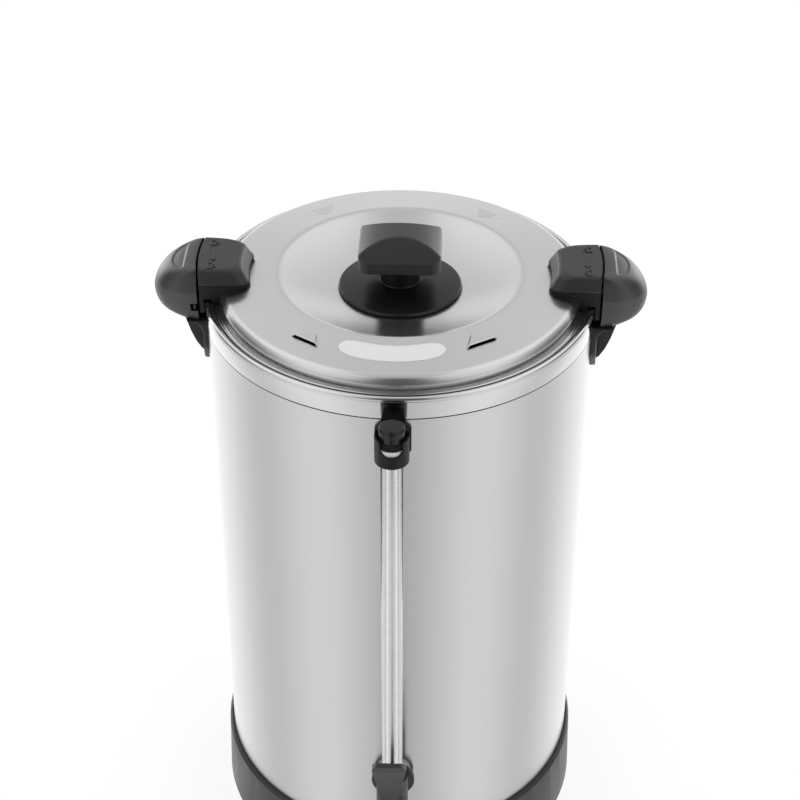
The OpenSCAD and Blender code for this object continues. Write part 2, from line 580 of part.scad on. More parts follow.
// Level gauge: a glass tube that stands in the tap and is held in a cup under the collar
module gauge_tube() color([0.85, 0.92, 0.95, 0.4]) on_axis() translate([0, -gauge_r, 0])
    ring(tube_bore, tube_r, tube_bottom + 0.1, tube_top);
module gauge_lower_seal() color([0.15, 0.15, 0.15]) on_axis() translate([0, -gauge_r, 0])
    ring(tube_r + 0.02, 9.1, tap_z + 15.1, tap_z + 21.6);
module gauge_bracket() color(black) on_axis() difference() {
    union() {
        translate([0, -gauge_r, gauge_cup_z]) cylinder(r = cup_r, h = 20);
        intersection() {
            translate([-7.4, -gauge_r, gauge_cup_z])
                cube([14.8, gauge_r - 120, rim_z - collar_h - 0.6 - gauge_cup_z]);
            ring(shell_r + 0.15, gauge_r + 5, gauge_cup_z, gauge_cup_z + 16);
        }
        intersection() {
            ring(shell_r + 0.15, shell_r + 2.6, rim_z - 60, rim_z - collar_h - 0.6);
            translate([0, -120, rim_z - 30]) rotate([90, 0, 0]) cylinder(r = 14, h = 20);
            translate([-11.4, -140, rim_z - 60]) cube([22.8, 30, 60]);
        }
    }
    translate([0, -gauge_r, gauge_cup_z + 2]) cylinder(r = nut_r + 0.5, h = 30);
    translate([0, -gauge_r, gauge_cup_z - 1]) cylinder(r = tube_r + 0.2, h = 30);
    translate([-7, -gauge_r - 20, rim_z - 22.5]) cube([14, 20, 20]);
    translate([-20, -gauge_r - 20, rim_z - 13]) cube([40, 22, 20]);
    for (z = bracket_screw_z) translate([0, -126, z]) rotate([90, 0, 0]) cylinder(r = 1.2, h = 12);
}
module bracket_screws() color(steel) on_axis() for (z = bracket_screw_z)
    translate([0, 0.1 - shell_r + sheet, z]) rotate([-90, 0, 0]) screw(1.15, 2.6, 9);
module gauge_washer() color(silicone) on_axis() translate([0, -gauge_r, 0])
    ring(tube_r + 0.02, nut_r + 0.2, gauge_cup_z + 2.1, gauge_nut_z - 0.1);
// Knurled nut: its teeth are a row of round flutes left standing
module gauge_nut() color([0.09, 0.09, 0.1]) on_axis() translate([0, -gauge_r, gauge_nut_z]) difference() {
    union() {
        cylinder(r = nut_r - 0.6, h = 5.1);
        for (a = [0:15:345]) rotate([0, 0, a]) translate([nut_r - 0.7, 0, 0])
            cylinder(r = 0.7, h = 5.1, $fn = 16);
    }
    translate([0, 0, -1]) cylinder(r = tube_r + 0.2, h = 8);
}
module gauge_cap() color(black) on_axis() translate([0, -gauge_r, gauge_nut_z + 5.2]) difference() {
    rotate_extrude() polygon([[0, 0], [cap_r, 0], [cap_r, cap_h - 0.8], [cap_r - 0.8, cap_h],
        [0, cap_h]]);
    translate([0, 0, -1]) cylinder(r = tube_r + 0.2, h = tube_top - gauge_nut_z - 2.7);
    translate([-0.5, -cap_r - 1, 2]) cube([1, 3, cap_h]);
}

// Lid: profile of its top surface from the axis outwards, lowered or drawn in by t
function lid_top(t) = concat(
    [for (i = [0:12]) let (r = crease_r * i / 12) [r, dish_z + dish_k * r * r - t]],
    [for (i = [0:8]) let (a = slope_deg + (90 - slope_deg) * i / 8)
        [shoulder_x + (shoulder_r - t) * sin(a), shoulder_z + (shoulder_r - t) * cos(a)]]);
module lid_section() polygon(concat(lid_top(0),
    [[lid_wall_r, lid_flange_z + sheet + 1.2], [lid_wall_r + 1.2, lid_flange_z + sheet],
        [lid_flange_r, lid_flange_z + sheet],
    [lid_flange_r, lid_flange_z], [lid_wall_r - sheet, lid_flange_z]],
    [for (i = [len(lid_top(sheet)) - 1:-1:0]) lid_top(sheet)[i]]));

// A steam louvre: a lanced triangle of sheet, raised at its outer edge
module louvre_wedge(w, d, h, down) intersection() {
    translate([0, 0, -down]) linear_extrude(down + h) polygon([[0, -w / 2], [0, w / 2], [-d, 0]]);
    rotate([0, -atan(h / d), 0]) translate([-3 * d, -w, h * cos(atan(h / d)) - 40])
        cube([6 * d, 2 * w, 40]);
}
module at_louvres() for (a = [-90 - louvre_az, -90 + louvre_az, 90 - louvre_az, 90 + louvre_az])
    rotate([0, 0, a]) translate([louvre_r, 0, rim_z + crease_h - lid_slope * (louvre_r - crease_r)])
        rotate([0, slope_deg, 0]) children();
module lid_pan() color(steel) on_axis() difference() {
    union() {
        rotate_extrude() lid_section();
        at_louvres() louvre_wedge(23, 13, 2.6, 0.6);
    }
    at_louvres() translate([0.5, 0, 0]) louvre_wedge(21.4, 12.2, 1.8, 3);
    translate([0, 0, dish_z - 3]) cylinder(r = 2.8, h = 6);
    at_ear_screws() cylinder(r = 1.8, h = 12, center = true);
}
module lid_seal() color([0.08, 0.08, 0.08]) on_axis() rotate_extrude() polygon([
    [lid_wall_r + 0.4, ledge_z + 0.3], [125.5, ledge_z + 0.3], [125.5, lid_flange_z + 1],
        [lid_flange_r + 0.3, lid_flange_z + 1],
    [lid_flange_r + 0.3, lid_flange_z - 0.15], [lid_wall_r + 0.4, lid_flange_z - 0.15]]);

// Ear, drawn on the +X side: stands on the lid, bridges the rim and meets the handle at the seam
ear_levels = [[grip_top, ear_inner + 7.8, -0.2], [grip_top - 1.3, ear_inner + 5.8, 0.4],
    [17, ear_inner + 3, 1.6],
    [13.8, ear_inner + 0.6, 2.8], [12.6, ear_inner, 2.8], [-9.7, ear_inner, 0.6]];
function ear_plan(inner, half) = let (c = 9) concat([[seam_r + 3, -half]],
    [for (t = [270:-15:180]) [inner + c + c * cos(t), -half + c + c * sin(t)]],
    [for (t = [180:-15:90]) [inner + c + c * cos(t), half - c + c * sin(t)]], [[seam_r + 3, half]]);
module ear() difference() {
    intersection() {
        hull() for (l = ear_levels) translate([0, 0, rim_z + l[0]])
            linear_extrude(0.02) polygon(ear_plan(l[1], grip_half + l[2]));
        cylinder(r = seam_r - seam_gap, h = rim_z + 60);
    }
    translate([ear_inner + ear_hollow - hollow_r, 0, rim_z - 20])
        cylinder(r = hollow_r, h = 60, $fn = 180);
    rotate_extrude() polygon(concat([[0, rim_z - 40]], [for (p = lid_top(-0.05)) p], [
        [lid_wall_r + 0.05, lid_flange_z + sheet + 1.3], [lid_flange_r + 0.3, lid_flange_z + sheet + 0.1],
        [lid_flange_r + 0.3, lid_flange_z + 1.2], [125.7, lid_flange_z + 1.2], [125.7, rim_z + 1],
        [leg_in, rim_z + 1], [leg_in, rim_z - 40]]));
    at_ear_screws() cylinder(r = 1.3, h = 18, center = true);
}
module at_ear_screws() for (v = [-10, 10], a = [0, 180]) rotate([0, 0, a])
    translate([108, v, rim_z + crease_h - lid_slope * (108 - crease_r) - sheet]) children();
module left_ear() color(black) on_axis() rotate([0, 0, 180]) ear();
module right_ear() color(black) on_axis() ear();
module ear_screws() color(steel) on_axis() at_ear_screws() translate([0, 0, -0.8]) rotate([180, 0, 0])
    screw(1.25, 2.8, 8);

// Knob: flange, then stem and grip in one moulding, screwed through the lid from below
module knob_flange() color(black) on_axis() difference() {
    rotate_extrude() polygon([[0, dish_z + 0.1], [12, dish_z + 0.1 + dish_k * 144], [14, rim_z - 0.6],
        [flange_r - 3, rim_z + 0.9],
        [flange_r - 2, rim_z + 0.75], [flange_r, rim_z + 1], [flange_r, rim_z + 2.2],
            [flange_r - 0.6, rim_z + 2.7],
        [stem_r + 1, rim_z + 6.3], [0, rim_z + 6.3]]);
    translate([0, 0, rim_z - 10]) cylinder(r = 2.8, h = 20);
}
module knob_grip() color(black) on_axis() difference() {
    union() {
        translate([0, 0, rim_z + 6.4]) cylinder(r = stem_r, h = 18);
        intersection() {
            translate([0, 0, rim_z + knob_low]) linear_extrude(30) hull()
                for (x = [-1, 1], y = [-1, 1])
                    translate([x * (knob_w / 2 - knob_corner), y * (knob_d / 2 - knob_corner)])
                        circle(r = knob_corner, $fn = 48);
            translate([0, 0, rim_z + knob_top - crown_r]) rotate([90, 0, 0])
                cylinder(r = crown_r, h = 80, center = true);
            for (s = [0, 180]) rotate([0, 0, s]) translate([0, -knob_flat / 2, rim_z + knob_top])
                rotate([knob_pitch, 0, 0])
                translate([-50, -60, -80]) cube([100, 160, 80]);
        }
    }
    translate([0, 0, rim_z + 6]) cylinder(r = 2.2, h = 13);
}
module knob_screw() color(steel) on_axis() translate([0, 0, dish_z - sheet - 0.1])
    rotate([180, 0, 0]) screw(2.1, 5.4, 23);

inner_tank();
outer_shell();
base_ring();
bottom_plate();
foot_front_left();
foot_front_right();
foot_rear_left();
foot_rear_right();
base_screws();
control_panel();
switch_housing();
rocker_switch();
power_lamp();
ready_lamp();
heat_plate();
heating_element();
element_clamp();
clamp_nuts();
thermostat();
keep_warm_thermostat();
thermal_fuse();
thermal_cutout();
cutout_capillary();
reset_button();
terminal_block();
wiring();
power_inlet();
inlet_pins();
inlet_screws();
left_handle();
right_handle();
left_backing_plate();
right_backing_plate();
handle_screws();
faucet_body();
faucet_nut();
faucet_inner_seal();
faucet_outer_seal();
faucet_bonnet();
faucet_stem();
seat_cup();
faucet_spring();
faucet_lever();
fulcrum_pin();
gauge_tube();
gauge_lower_seal();
gauge_bracket();
bracket_screws();
gauge_washer();
gauge_nut();
gauge_cap();
lid_seal();
lid_pan();
left_ear();
right_ear();
ear_screws();
knob_flange();
knob_grip();
knob_screw();
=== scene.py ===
import json, math
import bpy
import bmesh
import numpy as np
from mathutils import Matrix


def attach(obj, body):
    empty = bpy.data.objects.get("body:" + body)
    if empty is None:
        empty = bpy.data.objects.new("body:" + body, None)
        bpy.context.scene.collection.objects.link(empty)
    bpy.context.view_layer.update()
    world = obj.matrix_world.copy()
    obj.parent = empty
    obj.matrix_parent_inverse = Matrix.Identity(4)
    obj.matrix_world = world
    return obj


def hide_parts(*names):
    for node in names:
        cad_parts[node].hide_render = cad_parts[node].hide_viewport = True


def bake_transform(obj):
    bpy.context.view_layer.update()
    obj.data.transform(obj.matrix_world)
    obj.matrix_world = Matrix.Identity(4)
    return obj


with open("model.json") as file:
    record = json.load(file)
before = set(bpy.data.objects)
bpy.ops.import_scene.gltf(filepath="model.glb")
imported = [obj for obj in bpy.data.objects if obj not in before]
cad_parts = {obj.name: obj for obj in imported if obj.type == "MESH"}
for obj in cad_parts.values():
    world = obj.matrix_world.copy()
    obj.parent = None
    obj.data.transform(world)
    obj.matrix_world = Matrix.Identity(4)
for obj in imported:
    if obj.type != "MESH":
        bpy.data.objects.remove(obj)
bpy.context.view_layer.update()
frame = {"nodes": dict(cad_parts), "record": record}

scene = bpy.context.scene
nodes = frame["nodes"]

# The urn's axis stands behind the middle of its box. Lengths are millimetres round that axis,
# and heights count from the tank's rim.
urn = {"axisY": 36.0, "rim": 445.0, "segments": 288}


def toMetres(points):  # millimetres round the axis, from the rim, into the frame's metres
    return (np.asarray(points, float) + (0.0, urn["axisY"], urn["rim"])) / 1000


def gridParts(grids):
    # every grid of points (rows, columns, xyz) becomes quads between its neighbours;
    # its own u runs along the columns and v along the rows
    points, faces, coords, start = [], [], [], 0
    for grid in grids:
        rows, cols = grid.shape[:2]
        index = start + np.arange(rows * cols).reshape(rows, cols)
        faces.append(np.stack([index[:-1, :-1], index[:-1, 1:], index[1:, 1:], index[1:, :-1]], -1).reshape(-1, 4))
        u, v = np.meshgrid(np.linspace(0, 1, cols), np.linspace(0, 1, rows))
        coords.append(np.stack([u, v], -1).reshape(-1, 2))
        points.append(grid.reshape(-1, 3))
        start += rows * cols
    return np.concatenate(points), np.concatenate(faces), np.concatenate(coords)


def newObject(name, mesh, finish, sharp, weld=0.01, turnOut=False, merge=0.0):
    # points nearer than the weld are joined, so seams and poles close; then faces are turned outwards,
    # or flat neighbours merged; edges past the sharp angle stay crisp
    work = bmesh.new()
    work.from_mesh(mesh)
    bmesh.ops.remove_doubles(work, verts=work.verts, dist=weld / 1000)
    if turnOut:
        bmesh.ops.recalc_face_normals(work, faces=work.faces)
    if merge:
        bmesh.ops.dissolve_limit(work, angle_limit=math.radians(merge), verts=work.verts, edges=work.edges)
    work.to_mesh(mesh)
    work.free()
    mesh.shade_smooth()
    mesh.set_sharp_from_angle(angle=math.radians(sharp))
    mesh.materials.clear()
    mesh.materials.append(finishes[finish])
    mesh.name = name
    piece = bpy.data.objects.new(name, mesh)
    scene.collection.objects.link(piece)
    return piece


def addPiece(name, grids, body, finish, stands=(), sharp=32.0, weld=0.01, wall=0.0):
    # a piece from its grids, which stands for the nodes named; a wall gives a single sheet its thickness
    points, faces, coords = gridParts(grids)
    mesh = bpy.data.meshes.new(name)
    mesh.from_pydata(toMetres(points).tolist(), [], faces.tolist())
    uv = mesh.uv_layers.new(name="along")
    loops = np.empty(len(mesh.loops), np.int32)
    mesh.loops.foreach_get("vertex_index", loops)
    uv.data.foreach_set("uv", coords[loops].astype(np.float32).ravel())
    piece = newObject(name, mesh, finish, sharp, weld, turnOut=True)
    if wall:
        sheet = piece.modifiers.new("sheet", "SOLIDIFY")
        sheet.thickness = wall / 1000
        sheet.offset = -1
        sheet.use_even_offset = True
    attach(piece, body)
    if stands:
        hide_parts(*stands)


def polar(r, angle, z):  # points from a radius and an angle round an axis, and a height
    return np.stack(np.broadcast_arrays(r * np.cos(angle), r * np.sin(angle), z), -1)


def turned(profile, segments=urn["segments"]):
    # a profile of radius and height carried round the axis
    profile = np.asarray(profile, float)
    return polar(profile[:, :1], np.radians(np.linspace(-90, 270, segments + 1)), profile[:, 1:])


def softCorners(points, radii, steps=6, closed=True):
    # each corner is replaced by an arc that touches both of its sides, as far as these are long enough
    points = np.asarray(points, float)
    count = len(points)
    out = []
    for i, corner in enumerate(points):
        radius = radii[i] if np.ndim(radii) else radii
        if radius <= 0 or (not closed and i in (0, count - 1)):
            out.append(corner[None])
            continue
        back, ahead = points[i - 1] - corner, points[(i + 1) % count] - corner
        lengths = np.linalg.norm(back), np.linalg.norm(ahead)
        back, ahead = back / lengths[0], ahead / lengths[1]
        half = np.arccos(np.clip(back @ ahead, -1, 1)) / 2
        if half > 1.55:  # nearly straight
            out.append(corner[None])
            continue
        reach = min(radius / np.tan(half), 0.49 * lengths[0], 0.49 * lengths[1])
        r = reach * np.tan(half)
        middle = corner + (back + ahead) / np.linalg.norm(back + ahead) * r / np.sin(half)
        a, b = corner + back * reach - middle, corner + ahead * reach - middle
        t = np.linspace(0, 1, steps + 1)[:, None]
        turn = np.arccos(np.clip((a @ b) / r / r, -1, 1))
        out.append(middle + (np.sin((1 - t) * turn) * a + np.sin(t * turn) * b) / np.sin(turn))
    return np.concatenate(out)


def spaced(points, count, closed=True):
    # the same outline with its points evenly apart
    points = np.asarray(points, float)
    if closed:
        points = np.vstack([points, points[:1]])
    along = np.r_[0, np.cumsum(np.linalg.norm(np.diff(points, axis=0), axis=1))]
    want = np.linspace(0, along[-1], count + 1 if closed else count)
    return np.stack([np.interp(want, along, points[:, k]) for k in range(points.shape[1])], -1)


def smoothCurve(points, count):
    # cubic arcs through the points, each leaving a point along the line between its neighbours, then evenly spaced
    p = np.asarray(points, float)
    p = np.vstack([2 * p[0] - p[1], p, 2 * p[-1] - p[-2]])
    t = np.linspace(0, 1, 17)[:-1, None]
    out = []
    for a, b, c, d in zip(p, p[1:], p[2:], p[3:]):
        out.append(0.5 * (2 * b + (c - a) * t + (2 * a - 5 * b + 4 * c - d) * t ** 2
                          + (3 * b - a - 3 * c + d) * t ** 3))
    out.append(p[-2][None])
    return spaced(np.concatenate(out), count, closed=False)


def outwards(outline):
    # unit normals of a closed outline whose last point is its first, pointing away from its inside
    body = outline[:-1]
    along = np.roll(body, -1, 0) - np.roll(body, 1, 0)
    normal = np.stack([along[:, 1], -along[:, 0]], -1)
    normal /= np.maximum(np.linalg.norm(normal, axis=1, keepdims=True), 1e-9)
    area = 0.5 * np.sum(body[:, 0] * np.roll(body[:, 1], -1) - np.roll(body[:, 0], -1) * body[:, 1])
    normal *= np.sign(area)
    return np.vstack([normal, normal[:1]])


def slab(outline, low, high, edge, rings, steps=4):
    # an outline lifted from low to high: rings run from the middle of the underside out to the wall,
    # up it and back to the middle of the top; each edge is a quarter circle
    quarter = np.linspace(0, math.pi / 2, steps + 1)
    levels = [(edge, low, k) for k in np.linspace(1, 0, rings + 1)[:-1]]
    levels += [(edge * (1 - math.sin(a)), low + edge * (1 - math.cos(a)), 0) for a in quarter]
    levels += [(edge * (1 - math.cos(a)), high - edge * (1 - math.sin(a)), 0) for a in quarter]
    levels += [(edge, high, k) for k in np.linspace(0, 1, rings + 1)[1:]]
    inset, height, shrink = np.array(levels).T[:, :, None, None]
    flat = outline - outwards(outline) * inset
    flat = flat + (outline[:-1].mean(0) - flat) * shrink
    return np.concatenate([flat, height + 0 * flat[..., :1]], -1)


def raisedLine(path, width, low, high, edge=0.08):
    # a low bar along a flat path: its section is carried along, and both ends are closed
    path = np.asarray(path, float)
    along = np.gradient(path, axis=0)
    along /= np.linalg.norm(along, axis=1, keepdims=True)
    side = np.stack([-along[:, 1], along[:, 0]], -1)
    across = np.array([-0.5, -0.5, -0.5 + edge / width, 0.5 - edge / width, 0.5, 0.5])
    lift = np.array([low, high - edge, high, high, high - edge, low])
    rows = np.concatenate([path[:, None] + side[:, None] * (across * width)[None, :, None],
                           np.broadcast_to(lift[None, :, None], (len(path), 6, 1))], -1)
    ends = [np.concatenate([row[None], row.mean(0)[None, None].repeat(6, 1)], 0) for row in (rows[0], rows[-1])]
    return [rows, *ends]


def smoothStep(t):  # 0 below 0, 1 above 1, and level at both ends
    t = np.clip(t, 0, 1)
    return t * t * (3 - 2 * t)


def steep(value, soft):  # 0 below, 1 above, with a smooth step between
    return smoothStep(value / soft + 0.5)


def softMinimum(a, b, blend):
    # the lower of two heights, rounded over where they differ by less than the blend
    return np.minimum(a, b) - blend / 4 * np.clip(1 - np.abs(a - b) / blend, 0, 1) ** 2


def levelled(table, z):  # the value at a height, from rows of height and value
    rows = sorted(table)
    return np.interp(z, [row[0] for row in rows], [row[1] for row in rows])


def feed(tree, node, *ordered, **named):
    # inputs in order or by name: a socket is joined to its input, and anything else is set on it
    wanted = {**dict(enumerate(ordered)), **{key.replace("_", " "): value for key, value in named.items()}}
    for key, value in wanted.items():
        if isinstance(value, bpy.types.NodeSocket):
            tree.links.new(value, node.inputs[key])
        else:
            node.inputs[key].default_value = value
    return node


def addNode(tree, kind, settings=(), *ordered, **named):  # a new node with its own settings and its inputs
    node = tree.nodes.new("ShaderNode" + kind)
    for key, value in dict(settings).items():
        setattr(node, key, value)
    return feed(tree, node, *ordered, **named)


def mapped(tree, value, low, high, fromLow=0.25, fromHigh=0.75):
    return addNode(tree, "MapRange", Value=value, From_Min=fromLow, From_Max=fromHigh, To_Min=low,
                   To_Max=high).outputs["Result"]


def mixed(tree, share, a, b, kind="RGBA"):
    return addNode(tree, "Mix", {"data_type": kind}, Factor=share, A=a, B=b).outputs["Result"]


def vectorMath(tree, operation, *ordered, out="Vector", **named):
    return addNode(tree, "VectorMath", {"operation": operation}, *ordered, **named).outputs[out]


def flatPart(tree, place):
    # a vector's parts, and the vector without its height
    parts = addNode(tree, "SeparateXYZ", Vector=place).outputs
    return parts, addNode(tree, "CombineXYZ", X=parts["X"], Y=parts["Y"]).outputs["Vector"]


def noise(tree, place, scale, detail, rough=0.5):
    return addNode(tree, "TexNoise", Vector=place, Scale=scale, Detail=detail, Roughness=rough).outputs["Fac"]


def bumped(tree, value, strength):
    return addNode(tree, "Bump", Height=value, Strength=strength, Distance=0.0001).outputs["Normal"]


def tinted(color, factor, lift=0.0):  # a colour made darker or lighter
    return (*[min(1.0, c * factor + lift) for c in color], 1)


def newMaterial(name, color, **named):
    # a material with plain values on its shader, and the object coordinates that its patterns read
    mat = bpy.data.materials.new(name)
    mat.use_nodes = True
    mat.diffuse_color = (*color, 1)
    tree = mat.node_tree
    bsdf = feed(tree, tree.nodes["Principled BSDF"], Base_Color=(*color, 1), **named)
    return mat, tree, bsdf, addNode(tree, "TexCoord").outputs["Object"]


def mouldedPlastic(name, color, roughness=0.42, grain=1.0, bump=0.1, specular=0.5, worn=0.25, shadedBelow=None):
    # spark-eroded grain in the bump, slow drifts in gloss, a touch lighter where edges are rubbed;
    # below the given heights the surface is left duller, and its colour is darkened as painted shade under an overhang
    mat, tree, bsdf, place = newMaterial(name, color, Roughness=roughness, Specular_IOR_Level=specular)
    fine = noise(tree, place, 2400.0 / grain, 3.0, 0.6)
    gloss = mapped(tree, noise(tree, place, 34.0, 4.0, 0.55), roughness - 0.04, roughness + 0.06)
    rub = mapped(tree, addNode(tree, "NewGeometry").outputs["Pointiness"], 0.0, worn, 0.52, 0.62)
    shade = mixed(tree, rub, (*color, 1), tinted(color, 1.9, 0.01))
    if shadedBelow:
        # painted shade: below these heights the base colour falls to a quarter, for the ear's leg in the shadow of its
        # overhang
        height = addNode(tree, "SeparateXYZ", Vector=place).outputs["Z"]
        above = mapped(tree, height, 0, 1, *[(urn["rim"] + level) / 1000 for level in shadedBelow])
        shade = mixed(tree, above, tinted(color, 0.25), shade)
        gloss = mixed(tree, above, 0.78, gloss, "FLOAT")
    feed(tree, bsdf, Base_Color=shade, Roughness=gloss, Normal=bumped(tree, fine, bump))
    return mat


# how the steel is brushed: noise along the hairlines and across them, a second coarser set as a share of both,
# and what the hairlines do to colour, gloss and bump
brushing = {
    "long": 16.0, "fine": 9000.0, "coarse": (0.35, 0.12), "coarseShare": 0.4,
    "contrast": 0.018, "spread": 0.03, "bump": 0.012
}


def brushedSteel(name, across="wall", color=(0.66, 0.66, 0.655), roughness=0.25, anisotropy=0.7, uvTangent=True):
    # hairlines that run round the urn's axis: the noise is stretched along the turn, and fine across it,
    # which is along the radius on a disc and along the height on a wall
    b = brushing
    mat, tree, bsdf, place = newMaterial(name, color, Metallic=1.0, Roughness=roughness, Anisotropic=anisotropy,
                                         Anisotropic_Rotation=0.25)
    centred = addNode(tree, "Mapping", Vector=place, Location=(0, -urn["axisY"] / 1000, 0))
    parts, flat = flatPart(tree, centred.outputs["Vector"])
    heading = vectorMath(tree, "NORMALIZE", flat)
    level = vectorMath(tree, "LENGTH", flat, out="Value") if across == "disc" else parts["Z"]
    level = addNode(tree, "CombineXYZ", Z=level).outputs["Vector"]
    hairs = []
    for along, over in ((1.0, 1.0), b["coarse"]):
        spot = vectorMath(tree, "ADD", vectorMath(tree, "SCALE", heading, Scale=b["long"] * along),
                          vectorMath(tree, "SCALE", level, Scale=b["fine"] * over))
        hairs.append(noise(tree, spot, 1.0, 3.0, 0.65))
    hair = mixed(tree, b["coarseShare"], *hairs, "FLOAT")
    feed(tree, bsdf, Roughness=mapped(tree, hair, roughness - b["spread"], roughness + b["spread"], 0.3, 0.7),
         Base_Color=mixed(tree, mapped(tree, hair, 0, 1, 0.3, 0.7), tinted(color, 1 - b["contrast"]),
                          tinted(color, 1 + b["contrast"])), Normal=bumped(tree, hair, b["bump"]))
    if uvTangent:
        tangent = addNode(tree, "Tangent", {"direction_type": "UV_MAP", "uv_map": "along"})
        feed(tree, bsdf, Tangent=tangent.outputs["Tangent"])
    return mat


def plainSurface(name, color, roughness, spread=(-0.07, 0.09), scale=900.0, rough=0.6, bump=0.06, metallic=1.0,
                 coat=0.0):
    # one fine noise drives both the gloss and a faint bump: bare metals, and the sticker under its thin coat
    mat, tree, bsdf, place = newMaterial(name, color, Metallic=metallic, Roughness=roughness, Coat_Weight=coat,
                                         Coat_Roughness=0.1)
    fine = noise(tree, place, scale, 4.0, rough)
    feed(tree, bsdf, Roughness=mapped(tree, fine, roughness + spread[0], roughness + spread[1]),
         Normal=bumped(tree, fine, bump))
    return mat


def clearTube(name):
    mat, tree, bsdf, place = newMaterial(name, (1.0, 1.0, 1.0), Roughness=0.015, IOR=1.38, Transmission_Weight=1.0)
    drawn = addNode(tree, "Mapping", Vector=place, Scale=(260, 260, 9))  # faint lines along the drawn tube
    feed(tree, bsdf, Roughness=mapped(tree, noise(tree, drawn.outputs["Vector"], 1.0, 2.0), 0.005, 0.06))
    return mat


black = (0.028, 0.028, 0.029)
deepBlack = (0.006, 0.006, 0.0065)
steels = {
    "wallSteel": dict(),
    "lidSteel": dict(across="disc", roughness=0.22, anisotropy=0.6),
    "collarSteel": dict(color=(0.72, 0.72, 0.715), roughness=0.11, anisotropy=0.3),
    "innerSteel": dict(color=(0.60, 0.60, 0.595), roughness=0.34, anisotropy=0.3, uvTangent=False)
}
plastics = {
    "blackMoulding": dict(color=black),
    # painted shade on the ear's leg below 12.1 to 12.9 mm, where the ear's overhang shades it
    "earMoulding": dict(color=black, shadedBelow=(12.1, 12.9)),
    "gripMoulding": dict(color=(0.017, 0.017, 0.018), roughness=0.37, specular=0.9),
    "knobMoulding": dict(color=black, roughness=0.36),
    "glossMoulding": dict(color=deepBlack, roughness=0.3, bump=0.06, specular=0.4),
    "satinMoulding": dict(color=deepBlack, roughness=0.36, bump=0.06, specular=0.2),
    "darkMoulding": dict(color=(0.012, 0.012, 0.013), roughness=0.5),
    "blackRubber": dict(color=(0.016, 0.016, 0.016), roughness=0.62, grain=1.6),
    "whiteRubber": dict(color=(0.85, 0.85, 0.83), roughness=0.5, worn=0.0),
    "redMoulding": dict(color=(0.42, 0.018, 0.014), roughness=0.3, worn=0.0),
    "redLens": dict(color=(0.5, 0.02, 0.015), roughness=0.14, bump=0.02, worn=0.0),
    "amberLens": dict(color=(0.78, 0.28, 0.02), roughness=0.14, bump=0.02, worn=0.0),
    "creamMoulding": dict(color=(0.74, 0.69, 0.58), roughness=0.46, worn=0.0),
    "wovenSleeve": dict(color=(0.52, 0.47, 0.40), roughness=0.8, grain=4.0, bump=0.3, worn=0.0)
}
plains = {
    "zincPlate": dict(color=(0.60, 0.61, 0.63), roughness=0.34),
    "millAluminium": dict(color=(0.74, 0.74, 0.75), roughness=0.38),
    "heaterTube": dict(color=(0.40, 0.37, 0.33), roughness=0.46),
    "bareBrass": dict(color=(0.70, 0.50, 0.22), roughness=0.3),
    "labelPaper": dict(color=(0.96, 0.96, 0.95), roughness=0.34, spread=(-0.06, 0.08), scale=700.0, rough=0.5,
                       bump=0.04, metallic=0.0, coat=0.15)
}
finishes = {"tubeGlass": clearTube("tubeGlass")}
for make, looks in ((brushedSteel, steels), (mouldedPlastic, plastics), (plainSurface, plains)):
    for name, look in looks.items():
        finishes[name] = make(name, **look)

# the finishes of every slot: the first is the one that nodes without a piece of their own wear
slots = {
    "brushed_steel": ["innerSteel", "wallSteel", "collarSteel", "lidSteel"],
    "black_plastic": ["blackMoulding", "earMoulding", "gripMoulding", "knobMoulding", "glossMoulding",
                      "satinMoulding", "darkMoulding"],
    "white_silicone": ["whiteRubber", "labelPaper"], "black_silicone": ["blackRubber"],
    "plated_steel": ["zincPlate"], "clear_glass": ["tubeGlass"], "red_plastic": ["redMoulding"],
    "red_lens": ["redLens"], "amber_lens": ["amberLens"], "aluminium_sheet": ["millAluminium"],
    "heater_alloy": ["heaterTube"], "brass_parts": ["bareBrass"], "cream_plastic": ["creamMoulding"],
    "wire_insulation": ["wovenSleeve"]
}
for row in frame["record"]["subparts"]:
    data = nodes[row["node"]].data
    data.materials.clear()
    data.materials.append(finishes[slots[row["material_slot"]][0]])
print("finishes set")

# Vessel: tank with its rolled rim and turned-down collar, and the shell that hangs under it
vessel = {
    "tankR": 121.3, "ledge": -6.0, "channelR": 126.6, "channelTop": -1.2, "channelFoot": -2.8, "rimR": 130.0,
    "bead": 1.9, "collar": -15.2, "bandProud": 0.04, "bandTop": -2.3, "bandShoulder": -2.9, "sheet": 0.8,
    "shellR": 129.1, "shellIn": 120.0, "shellLow": -393.0, "shellTop": -13.2, "floor": -371.0, "corner": 8.0,
    # painted shade: the section of a dark ring under the collar's edge, in place of the gap's shadow
    "shadeRing": [(129.2, -14.9), (129.72, -15.1), (129.76, -15.55), (129.64, -16.1), (128.9, -16.45),
                (128.8, -14.9), (129.2, -14.9)]
}


def beadArc(first, last, count, proud=0.0):  # points on the rim's round section between two angles
    a = np.radians(np.linspace(first, last, count))
    r = vessel["bead"] + proud
    return np.stack([vessel["rimR"] - vessel["bead"] + r * np.cos(a), -vessel["bead"] + r * np.sin(a)], -1)


